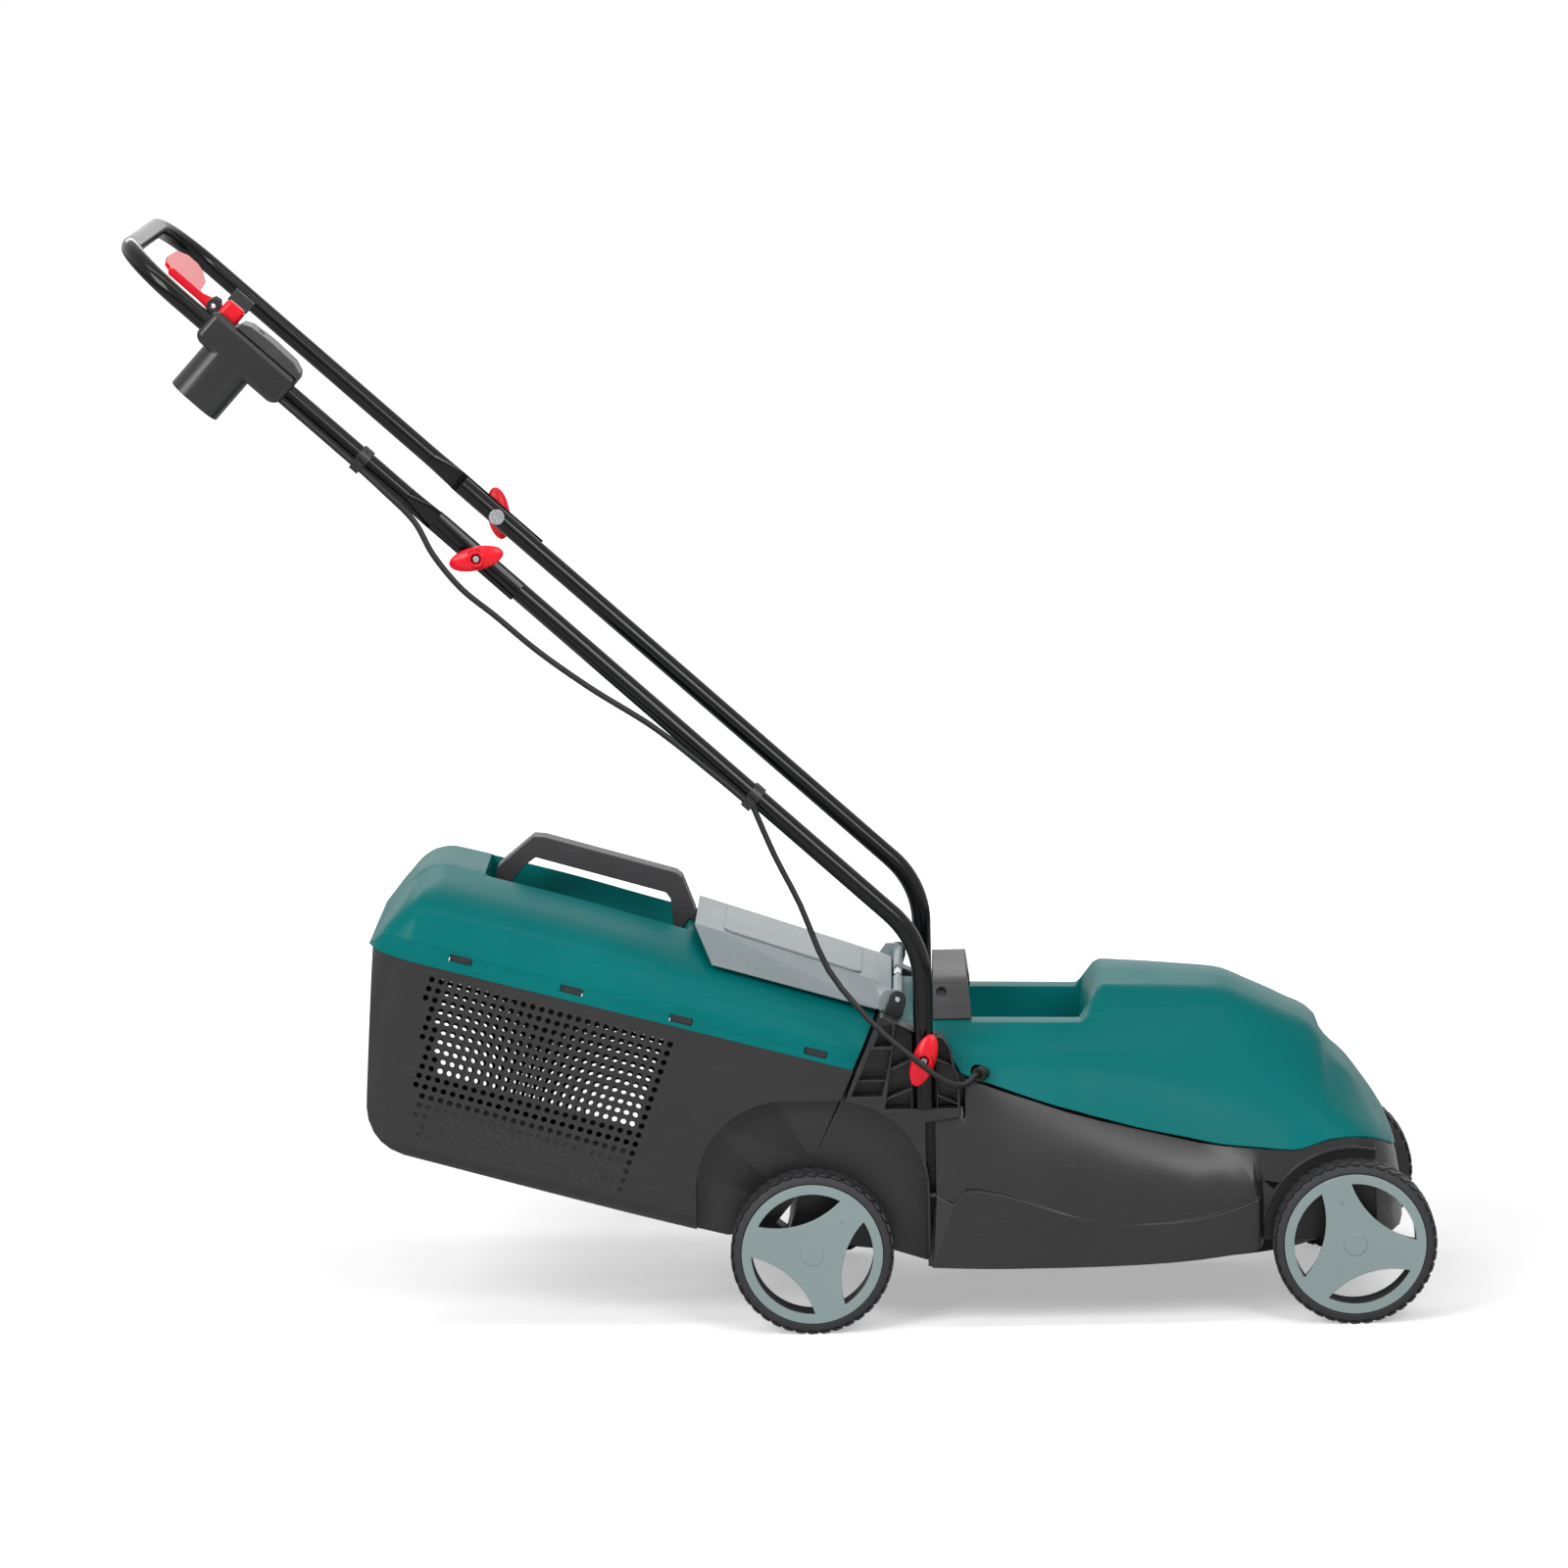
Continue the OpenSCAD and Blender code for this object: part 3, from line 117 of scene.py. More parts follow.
def spread(tree, value, low, high, start=0.3, end=0.7):
    """Stretches a pattern's middle range to run from low to high."""
    return add(tree, "ShaderNodeMapRange", {"Value": value, "From Min": start, "From Max": end, "To Min": low,
                                            "To Max": high}).outputs["Result"]


def noise(tree, place, size_mm, detail=3.0, rough=0.5):
    """A cloudy pattern whose patches are about size_mm across."""
    return add(tree, "ShaderNodeTexNoise", {"Vector": place, "Scale": 1000 / size_mm, "Detail": detail,
                                            "Roughness": rough}).outputs["Fac"]


def mixed(tree, factor, first, second):
    """A colour between two others."""
    return add(tree, "ShaderNodeMix", {0: factor, 6: first, 7: second}, data_type="RGBA").outputs[2]


def shade(colour, amount):
    """A colour made lighter (above 1) or darker (below 1)."""
    return tuple(min(1.0, c * amount) for c in colour[:3]) + (1.0,)


def maths(tree, operation, *values):
    """A sum of up to three values or sockets."""
    return add(tree, "ShaderNodeMath", dict(enumerate(values)), operation=operation).outputs[0]


def raised(tree, height, depth_mm):
    """A bump whose full height is depth_mm."""
    return add(tree, "ShaderNodeBump", {"Height": height, "Distance": depth_mm * MM}).outputs[0]


def surface(material, tree, sockets):
    """Ends a material tree with a principled surface."""
    return close(material, tree, add(tree, "ShaderNodeBsdfPrincipled", sockets))


# ---------- materials ----------
def moulded_plastic(name, colour, rough, grain_mm, grain_depth, specular=0.5, cloud=0.07, scuff=0.1):
    """Injection moulding off a spark-eroded tool: a fine pebble grain, slow changes of gloss where the melt
    flowed, and faint pale rub marks."""
    material, tree, place = fresh(name)
    # the eye sees soft highlights broken by the grain, drawn coarser than the real 0.3 mm so it shows
    grain = noise(tree, place, grain_mm, 1.0)
    flow = noise(tree, place, 130, 2.0)
    rub_place = add(tree, "ShaderNodeMapping", {"Vector": place, "Scale": (0.35, 1.6, 2.4)}).outputs["Vector"]
    rub = spread(tree, noise(tree, rub_place, 9, 5.0, 0.7), 0.0, 1.0, 0.56, 0.78)
    tint = mixed(tree, spread(tree, flow, 0.0, 1.0), shade(colour, 1 - cloud), shade(colour, 1 + cloud))
    pale = tuple(c + (0.5 - c) * 0.5 for c in colour[:3]) + (1.0,)
    faded = mixed(tree, maths(tree, "MULTIPLY", rub, scuff), tint, pale)
    gloss = maths(tree, "MULTIPLY_ADD", rub, scuff * 0.6, spread(tree, flow, rough - 0.05, rough + 0.05))
    return surface(material, tree, {
        "Base Color": faded, "Roughness": gloss, "IOR": 1.5, "Specular IOR Level": specular,
        "Normal": raised(tree, grain, grain_depth)})


def powder_coat(name, colour):
    """Gloss powder coat on drawn steel tube: long bright highlights with a faint orange peel."""
    material, tree, place = fresh(name)
    peel = noise(tree, place, 9.0, 0.0)
    cloud = noise(tree, place, 90, 2.0)
    tint = mixed(tree, spread(tree, cloud, 0.0, 0.5), colour, shade(colour, 1.6))
    return surface(material, tree, {
        "Base Color": tint, "Roughness": spread(tree, cloud, 0.1, 0.16), "IOR": 1.5,
        "Specular IOR Level": 0.27, "Normal": raised(tree, peel, 0.003)})


def rubber(name, colour, rough=0.6, grain_depth=0.05, dusty=0.3):
    """Moulded rubber: dull, with a fine matt grain and paler dusty patches from use."""
    material, tree, place = fresh(name)
    grain = noise(tree, place, 2.2, 2.0, 0.55)
    dust = spread(tree, noise(tree, place, 14, 5.0, 0.65), 0.0, dusty, 0.5, 0.75)
    tint = mixed(tree, dust, colour, shade(colour, 2.0))
    return surface(material, tree, {
        "Base Color": tint, "Roughness": spread(tree, dust, rough, rough + 0.15, 0.0, 0.3), "IOR": 1.52,
        "Specular IOR Level": 0.35, "Normal": raised(tree, grain, grain_depth)})


def bare_metal(name, colour, rough, grain_mm, stretch, depth=0.01):
    """Metal as it leaves its process: its grain is drawn out one way where ground, and even where cast."""
    material, tree, place = fresh(name)
    along = add(tree, "ShaderNodeMapping", {"Vector": place, "Scale": stretch}).outputs["Vector"]
    grain = noise(tree, along, grain_mm, 4.0, 0.6)
    cloud = noise(tree, place, 12, 3.0)
    tint = mixed(tree, spread(tree, cloud, 0.0, 1.0), shade(colour, 0.86), colour)
    return surface(material, tree, {
        "Base Color": tint, "Metallic": 1.0, "Roughness": spread(tree, grain, rough - 0.07, rough + 0.1),
        "Normal": raised(tree, grain, depth)})


def wound_copper(name, colour):
    """Enamelled copper wire in layers: parallel wires that glint amber, drawn 2.4 mm apart so they show."""
    material, tree, place = fresh(name)
    wires = add(tree, "ShaderNodeTexWave", {"Vector": place, "Scale": WAVE / (2.369 * MM), "Distortion": 1.5,
                                            "Detail": 2.0}, bands_direction="Z").outputs["Fac"]
    tint = mixed(tree, wires, shade(colour, 0.45), colour)
    return surface(material, tree, {
        "Base Color": tint, "Metallic": 0.9, "Roughness": spread(tree, wires, 0.45, 0.3, 0.0, 1.0),
        "Normal": raised(tree, wires, 0.3)})


def stacked_laminations(name, colour):
    """Punched electrical steel, stacked: thin dark lines between sheets, drawn 2 mm apart so they show."""
    material, tree, place = fresh(name)
    sheets = add(tree, "ShaderNodeTexWave", {"Vector": place, "Scale": WAVE / (1.974 * MM), "Distortion": 0.3},
                 bands_direction="Z", wave_profile="SAW").outputs["Fac"]
    rust = spread(tree, noise(tree, place, 16, 4.0), 0.0, 0.4, 0.5, 0.75)
    tint = mixed(tree, rust, mixed(tree, sheets, shade(colour, 0.6), colour), linear("#6E5A48"))
    return surface(material, tree, {
        "Base Color": tint, "Metallic": 0.85, "Roughness": spread(tree, sheets, 0.5, 0.35, 0.0, 1.0),
        "Normal": raised(tree, sheets, 0.15)})


MATERIALS = {}
# which finish each CAD node wears
FINISH = {
    "black_pp": ["deck_shell", "grass_box"],
    "teal_abs": ["motor_cover", "grass_box_lid"],
    "charcoal_pp": ["carry_handle", "grass_box_handle", "switch_cover", "lever_bracket", "cooling_fan",
                    "microswitch", "switch_screws"],
    "switch_abs": ["switch_housing", "cable_clip_upper", "cable_clip_lower"],
    "grey_hub": ["front_left_hubcap", "front_right_hubcap", "rear_left_hubcap", "rear_right_hubcap",
                 "run_capacitor"],
    "grey_flap": ["rear_flap"],
    "red_nylon": ["mid_knob_left", "mid_knob_right", "base_knob_left", "base_knob_right", "lock_button",
                  "switch_lever"],
    "tube_coat": ["lower_tube_left", "lower_tube_right", "upper_handle"],
    "tyre": ["front_left_wheel", "front_right_wheel", "rear_left_wheel", "rear_right_wheel"],
    "cable_pvc": ["cable_upper", "cable_fold", "cable_lower", "cable_grommet"],
    "zinc": ["deck_screws", "blade_washer", "blade_bolt", "front_axle", "rear_axle", "wheel_retainers",
             "mid_bolts", "base_bolts", "flap_pin", "flap_spring", "motor_shaft", "lower_bearing",
             "upper_bearing"],
    "blade_steel": ["blade"],
    "die_cast": ["motor_lower_bracket", "motor_upper_bracket", "blade_carrier"],
    "laminations": ["motor_rotor"],
    "copper": ["motor_stator"],
    "nickel": ["inlet_pins"],
}
FINISH_OF = {node: finish for finish, nodes in FINISH.items() for node in nodes}


# ---------- pieces ----------
def shown(name, mesh):
    """A new object, at the origin, that holds a mesh."""
    piece = bpy.data.objects.new(name, mesh)
    bpy.context.scene.collection.objects.link(piece)
    return piece


def filled(name, bm):
    """A new object made of a finished bmesh."""
    mesh = bpy.data.meshes.new(name)
    bm.to_mesh(mesh)
    bm.free()
    return shown(name, mesh)


def solid(name, build):
    """A mesh object from a bmesh recipe, with faces outward."""
    bm = bmesh.new()
    build(bm)
    bmesh.ops.recalc_face_normals(bm, faces=bm.faces)
    return filled(name, bm)


def own_shape(node, name):
    """A CAD node's own shape: corners merged, and flat areas freed of their inner edges."""
    bm = bmesh.new()
    bm.from_mesh(frame["nodes"][node].data)
    bmesh.ops.remove_doubles(bm, verts=bm.verts, dist=0.02 * MM)
    if len(bm.faces) < MOST_FACES:
        bmesh.ops.dissolve_limit(bm, angle_limit=math.radians(0.3), verts=bm.verts, edges=bm.edges)
    return filled(name, bm)


def hand_over(piece, nodes, rides=True):
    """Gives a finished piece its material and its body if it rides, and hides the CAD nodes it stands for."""
    piece.data.materials.clear()
    piece.data.materials.append(MATERIALS[FINISH_OF[nodes[0]]])
    if rides:
        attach(piece, BODY_OF[nodes[0]])
    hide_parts(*nodes)


def dress(node, bevel_mm, crease=28):
    """A CAD node's own shape with its edges rounded and its curves shaded smooth."""
    hand_over(polish(own_shape(node, node + "_form"), bevel_mm, crease), [node])


def angles(steps):
    """Even steps of one turn."""
    return [2 * math.pi * k / steps for k in range(steps)]


def lathe(bm, profile, steps):
    """A ring swept round Y from a closed profile of (radius, y) points in mm."""
    rings = [[bm.verts.new((r * math.cos(a) * MM, y * MM, r * math.sin(a) * MM)) for r, y in profile]
             for a in angles(steps)]
    for k in range(steps):
        here, there = rings[k], rings[(k + 1) % steps]
        for i in range(len(profile)):
            j = (i + 1) % len(profile)
            bm.faces.new((here[i], here[j], there[j], there[i]))
    bmesh.ops.remove_doubles(bm, verts=bm.verts, dist=0.001 * MM)


def joined(bm, rings):
    """Closes a row of rings of vertices into a solid with flat ends."""
    for here, there in zip(rings, rings[1:]):
        for k in range(len(here)):
            j = (k + 1) % len(here)
            bm.faces.new((here[k], here[j], there[j], there[k]))
    bm.faces.new(rings[0])
    bm.faces.new(rings[-1])


def turned(bm, profile, steps):
    """A solid of revolution about Y from (radius, y) points in mm; both ends close on flat discs."""
    joined(bm, [[bm.verts.new((r * math.cos(a) * MM, y * MM, r * math.sin(a) * MM)) for a in angles(steps)]
                for r, y in profile])


def slab(bm, outline, low, high):
    """A prism over an outline of (x, y) points in mm, from z = low to z = high."""
    joined(bm, [[bm.verts.new((x * MM, y * MM, z * MM)) for x, y in outline] for z in (low, high)])


def rounded(length, width, radius, steps=6):
    """The outline of a rounded rectangle in mm."""
    points = []
    for k, (sx, sy) in enumerate(((1, 1), (-1, 1), (-1, -1), (1, -1))):
        for i in range(steps + 1):
            a = math.pi / 2 * (k + i / steps)
            points.append((sx * (length / 2 - radius) + radius * math.cos(a),
                           sy * (width / 2 - radius) + radius * math.sin(a)))
    return points


def applied(piece):
    """Applies a piece's modifiers."""
    bpy.context.view_layer.update()
    mesh = bpy.data.meshes.new_from_object(piece.evaluated_get(bpy.context.evaluated_depsgraph_get()))
    piece.modifiers.clear()
    piece.data = mesh
    return piece


def carve(piece, tools, way, solver="EXACT"):
    """Joins tools to a piece or cuts them from it, and applies the result."""
    for tool in tools:
        cut = piece.modifiers.new("carve", "BOOLEAN")
        cut.object = tool
        cut.operation = way
        cut.solver = solver
    applied(piece)
    for tool in tools:
        bpy.data.objects.remove(tool)
    return piece


def settle(piece, place):
    """Moves a mesh to its place; its object stays at the origin."""
    piece.data.transform(place)
    if place.determinant() < 0:
        piece.data.flip_normals()
    return piece


def leaning(place, lean):
    """The frame of a piece that is turned about Y at its place."""
    return Matrix.Translation(place) @ Matrix.Rotation(lean, 4, "Y")


def polish(piece, bevel_mm, crease, segments=2):
    """Smooth shading, kept crisp at creases, and a small radius on every edge if bevel_mm isn't 0."""
    piece.data.shade_smooth()
    piece.data.set_sharp_from_angle(angle=math.radians(crease))
    if bevel_mm:
        edge = piece.modifiers.new("edge radius", "BEVEL")
        edge.width = bevel_mm * MM
        edge.segments = segments
        edge.limit_method = "ANGLE"
        edge.angle_limit = math.radians(crease)
        edge.use_clamp_overlap = False
        edge.harden_normals = True
    level = piece.modifiers.new("level", "WEIGHTED_NORMAL")
    level.keep_sharp = True
    return piece


def eased(xs, ys, x):
    """A smooth curve through stations that never overshoots them."""
    i = max(k for k in range(len(xs) - 1) if xs[k] <= x or k == 0)
    fall = [(ys[k + 1] - ys[k]) / (xs[k + 1] - xs[k]) for k in range(len(xs) - 1)]

    def slope(k):
        if k == 0 or k == len(xs) - 1:
            return fall[min(k, len(fall) - 1)]
        before, after = fall[k - 1], fall[k]
        if before * after <= 0:
            return 0.0
        wide, narrow = xs[k + 1] - xs[k], xs[k] - xs[k - 1]
        a, b = 2 * wide + narrow, wide + 2 * narrow
        return (a + b) / (a / before + b / after)

    span = xs[i + 1] - xs[i]
    t = (x - xs[i]) / span
    return ((1 + 2 * t) * (1 - t) ** 2 * ys[i] + t * (1 - t) ** 2 * span * slope(i)
            + t * t * (3 - 2 * t) * ys[i + 1] - t * t * (1 - t) * span * slope(i + 1))


def softened(points, cuts):
    """Cuts the corners of an open run of points; cuts gives how far along its edges each corner is cut."""
    soft = [points[0]]
    for k in range(1, len(points) - 1):
        before, corner, after = points[k - 1], points[k], points[k + 1]
        soft.append(corner.lerp(before, cuts[k]))
        soft.append(corner.lerp(after, cuts[k]))
    return soft + [points[-1]]


def skin(bm, sections):
    """An open skin through sections of the same number of points, in mm."""
    rings = [[bm.verts.new(p * MM) for p in section] for section in sections]
    for here, there in zip(rings, rings[1:]):
        for k in range(len(here) - 1):
            bm.faces.new((here[k], here[k + 1], there[k + 1], there[k]))


def swept_shell(name, rows, step, section):
    """A thin moulding swept through rows of sizes, which ease into each other; step tells how far apart its
    sections stand at x."""
    xs, *sizes = zip(*rows)
    sections = []
    for start, end in zip(xs, xs[1:]):
        count = max(1, round((end - start) / step(start)))
        for i in range(count):
            x = start + (end - start) * i / count
            sections.append(section([x] + [eased(xs, size, x) for size in sizes]))
    sections.append(section(rows[-1]))
    piece = solid(name, lambda bm: skin(bm, sections))
    if sum((f.normal.z * f.area for f in piece.data.polygons)) < 0:
        piece.data.flip_normals()
    thick = piece.modifiers.new("wall", "SOLIDIFY")
    thick.thickness = WALL * MM
    thick.offset = -1
    thick.use_even_offset = True
    return applied(piece)


def course(points, steps):
    """A smooth run through points."""
    run = []
    for k in range(len(points) - 1):
        a, b, c, d = points[max(k - 1, 0)], points[k], points[k + 1], points[min(k + 2, len(points) - 1)]
        for t in (i / steps for i in range(steps)):
            run.append(0.5 * (2 * b + (c - a) * t + (2 * a - 5 * b + 4 * c - d) * t ** 2
                              + (3 * b - a - 3 * c + d) * t ** 3))
    return run + [points[-1]]


def tube(bm, points, radius, sides=14):
    """A closed round lead along a run of points, in mm."""
    rings = []
    for k, point in enumerate(points):
        along = (points[min(k + 1, len(points) - 1)] - points[max(k - 1, 0)]).normalized()
        across = along.cross(Vector((0.1, 1, 0.2))).normalized()
        above = along.cross(across)
        rings.append([bm.verts.new((point + radius * (math.cos(a) * across + math.sin(a) * above)) * MM)
                      for a in angles(sides)])
    joined(bm, rings)


def both_sides(points):
    """A half section, from its rim to its middle, carried on to the other rim."""
    return points + [Vector((p.x, -p.y, p.z)) for p in reversed(points[:-1])]


# ---------- patterns made of repeated shapes ----------
def new_tree(name, inputs):
    """An empty geometry tree with named inputs; gives the tree, its input node and its output node."""
    tree = bpy.data.node_groups.new(name, "GeometryNodeTree")
    for label, kind, default in inputs:
        made = tree.interface.new_socket(name=label, in_out="INPUT", socket_type=kind)
        if default is not None:
            made.default_value = default
    tree.interface.new_socket(name="Geometry", in_out="OUTPUT", socket_type="NodeSocketGeometry")
    return tree, tree.nodes.new("NodeGroupInput").outputs, tree.nodes.new("NodeGroupOutput")


def tread_tree():
    """A ring of slanted tread bars, two staggered rows, round a wheel that turns about Y."""
    tree, given, end = new_tree("tread bars", [
        ("Radius", "NodeSocketFloat", 0.0784), ("Bars", "NodeSocketInt", 36),
        ("Bar Length", "NodeSocketFloat", 0.015), ("Bar Width", "NodeSocketFloat", 0.0058),
        ("Bar Height", "NodeSocketFloat", 0.003), ("Slant", "NodeSocketFloat", 0.45),
        ("Row Offset", "NodeSocketFloat", 0.0085), ("Centre", "NodeSocketVector", None),
        ("Material", "NodeSocketMaterial", None)])

    def vector(**parts):
        return add(tree, "ShaderNodeCombineXYZ", parts).outputs[0]

    def shape(kind, **inputs):
        return add(tree, "GeometryNode" + kind, inputs).outputs[0]

    rows = []
    for side in (-1, 1):
        step = maths(tree, "DIVIDE", 2 * math.pi, given["Bars"])
        angle = maths(tree, "MULTIPLY", maths(tree, "ADD", shape("InputIndex"), 0.25 * side), step)
        place = vector(X=maths(tree, "MULTIPLY", maths(tree, "COSINE", angle), given["Radius"]),
                       Y=maths(tree, "MULTIPLY", given["Row Offset"], side),
                       Z=maths(tree, "MULTIPLY", maths(tree, "SINE", angle), given["Radius"]))
        points = shape("SetPosition", Geometry=shape("Points", Count=given["Bars"]), Position=place)
        size = vector(X=given["Bar Height"], Y=given["Bar Length"], Z=given["Bar Width"])
        tilt = vector(X=maths(tree, "MULTIPLY", given["Slant"], side))
        bar = shape("Transform", Geometry=shape("MeshCube", Size=size), Rotation=tilt)
        turn = vector(Y=maths(tree, "MULTIPLY", angle, -1.0))
        rows.append(shape("InstanceOnPoints", Points=points, Instance=bar, Rotation=turn))
    both = add(tree, "GeometryNodeJoinGeometry")
    for row in rows:
        tree.links.new(row, both.inputs[0])
    moved = shape("Transform", Geometry=both.outputs[0], Translation=given["Centre"])
    done = shape("SetMaterial", Geometry=shape("RealizeInstances", Geometry=moved), Material=given["Material"])
    tree.links.new(done, end.inputs[0])
    return tree


def grown(tree, name, **inputs):
    """A plain mesh object grown by a geometry tree; inputs are set by the sockets' identifiers."""
    host = bpy.data.objects.new(name + "_host", bpy.data.meshes.new(name + "_host"))
    bpy.context.scene.collection.objects.link(host)
    maker = host.modifiers.new("maker", "NODES")
    maker.node_group = tree
    for item in tree.interface.items_tree:
        if item.in_out == "INPUT" and item.name.replace(" ", "_") in inputs:
            maker[item.identifier] = inputs[item.name.replace(" ", "_")]
    bpy.context.view_layer.update()
    ready = host.evaluated_get(bpy.context.evaluated_depsgraph_get())
    mesh = bpy.data.meshes.new_from_object(ready)
    bpy.data.objects.remove(host)
    return shown(name, mesh)


# ---------- settings ----------
def colour(name, description, code):
    """A setting for a colour."""
    return FloatVectorProperty(name=name, description=description, default=linear(code), size=4, min=0, max=1,
                               subtype="COLOR")


def length(name, description, default, **limits):
    """A setting for a length."""
    return FloatProperty(name=name, description=description, default=default, unit="LENGTH", **limits)


def power(name, description, default):
    """A setting for a lamp."""
    return FloatProperty(name=name, description=description, default=default, min=0, subtype="POWER")


class MowerColours(bpy.types.PropertyGroup):
    """Colours of the finishes."""

    body: colour("Body", "Motor cover and grass box lid", "#036B6B")
    shell: colour("Shell", "Deck and grass box", "#232324")
    grips: colour("Grips", "Carry handles", "#29282A")
    hubs: colour("Hubcaps", "Hubcaps", "#829292")
    flap: colour("Flap", "Rear flap", "#848F92")
    controls: colour("Controls", "Lever, lock button and wing knobs", "#E01326")
    tubes: colour("Tubes", "Handle tubes", "#070708")
    tyres: colour("Tyres", "Tyres", "#2A2A2C")


class MowerShapes(bpy.types.PropertyGroup):
    """Sizes of the finishing work."""

    bars: IntProperty(name="Tread bars", description="Tread bars in each row round a tyre", default=40, min=8,
                      max=90)
    bar_width: length("Tread bar width", "Width of a bar round the tyre", 8.4 * MM, min=2 * MM, max=12 * MM)
    bar_height: length("Tread bar height", "How far a bar stands out", 1.9 * MM, min=1 * MM, max=6 * MM)
    wing: length("Wing length", "Length of a wing knob", 54 * MM, min=40 * MM, max=56 * MM)


class MowerStudio(bpy.types.PropertyGroup):
    """Floor, lamps and camera."""

    floor_size: length("Floor size", "Side of the square floor", 60.0)
    key: power("Key lamp", "Power of the soft box at the viewer's left", 84.0)
    fill: power("Fill lamp", "Power of the soft box at the viewer's right", 40.0)
    top: power("Top lamp", "Power of the lamp overhead", 20.0)
    rim: power("Rim lamp", "Power of the lamp behind", 20.0)
    sky: FloatProperty(name="Sky", description="Strength of the even light from all round", default=0.28)
    lens: FloatProperty(name="Lens", description="Focal length", default=168.75, subtype="DISTANCE_CAMERA")


# ---------- operators ----------
class MOWER_OT_finishes(bpy.types.Operator):
    """Makes every finish and gives it to the CAD nodes that wear it"""

    bl_idname = "mower.finishes"
    bl_label = "Finishes"

    def execute(self, context):
        colours = context.scene.mower_colours
        # plastics: roughness, grain size and depth in mm, specular level, cloudiness and rub marks
        # metals: roughness, grain size in mm, how the grain is stretched, and its depth in mm
        MATERIALS.update(
            teal_abs=moulded_plastic("teal moulded ABS", colours.body, 0.33, 2.6, 0.012, 0.07, 0.06, 0.05),
            black_pp=moulded_plastic("black moulded polypropylene", colours.shell, 0.34, 2.6, 0.014, 0.4, 0.08,
                                     0.05),
            charcoal_pp=moulded_plastic("charcoal textured polypropylene", colours.grips, 0.42, 2.4, 0.03,
                                        0.5),
            switch_abs=moulded_plastic("black moulded switch ABS", colours.shell, 0.3, 2.4, 0.006, 0.4, 0.05,
                                       0.02),
            grey_hub=moulded_plastic("grey moulded hubcap ABS", colours.hubs, 0.34, 2.4, 0.01, 0.5, 0.04,
                                     0.05),
            grey_flap=moulded_plastic("grey moulded flap polypropylene", colours.flap, 0.28, 2.6, 0.01, 0.5,
                                      0.04, 0.05),
            red_nylon=moulded_plastic("red moulded nylon", colours.controls, 0.3, 6.0, 0.001, 0.3, 0.04, 0.0),
            tube_coat=powder_coat("black powder coated tube", colours.tubes),
            tyre=rubber("black moulded tyre", colours.tyres),
            cable_pvc=rubber("black extruded cable PVC", linear("#0E0E0F"), 0.42, 0.004, 0.06),
            zinc=bare_metal("zinc plated steel", linear("#C9CCD2"), 0.28, 1.2, (1, 1, 1)),
            blade_steel=bare_metal("ground and oiled blade steel", linear("#9A9DA2"), 0.32, 0.8, (0.1, 1, 1),
                                   0.02),
            die_cast=bare_metal("die cast aluminium", linear("#B9BCC0"), 0.48, 1.5, (1, 1, 1), 0.06),
            nickel=bare_metal("nickel plated brass", linear("#D8D4C8"), 0.2, 0.8, (1, 1, 1), 0.004),
            copper=wound_copper("wound enamelled copper", linear("#B8643A")),
            laminations=stacked_laminations("stacked electrical steel", linear("#8C8F94")))
        for node, cad in frame["nodes"].items():
            cad.data.materials.clear()
            cad.data.materials.append(MATERIALS[FINISH_OF[node]])
        return {"FINISHED"}


class MOWER_OT_deck(bpy.types.Operator):
    """Dresses the deck moulding, its screws and the cable grommet"""

    bl_idname = "mower.deck"
    bl_label = "Deck"

    def execute(self, context):
        dress("deck_shell", 0.7)
        dress("deck_screws", 0.3)
        dress("cable_grommet", 0.4)
        return {"FINISHED"}


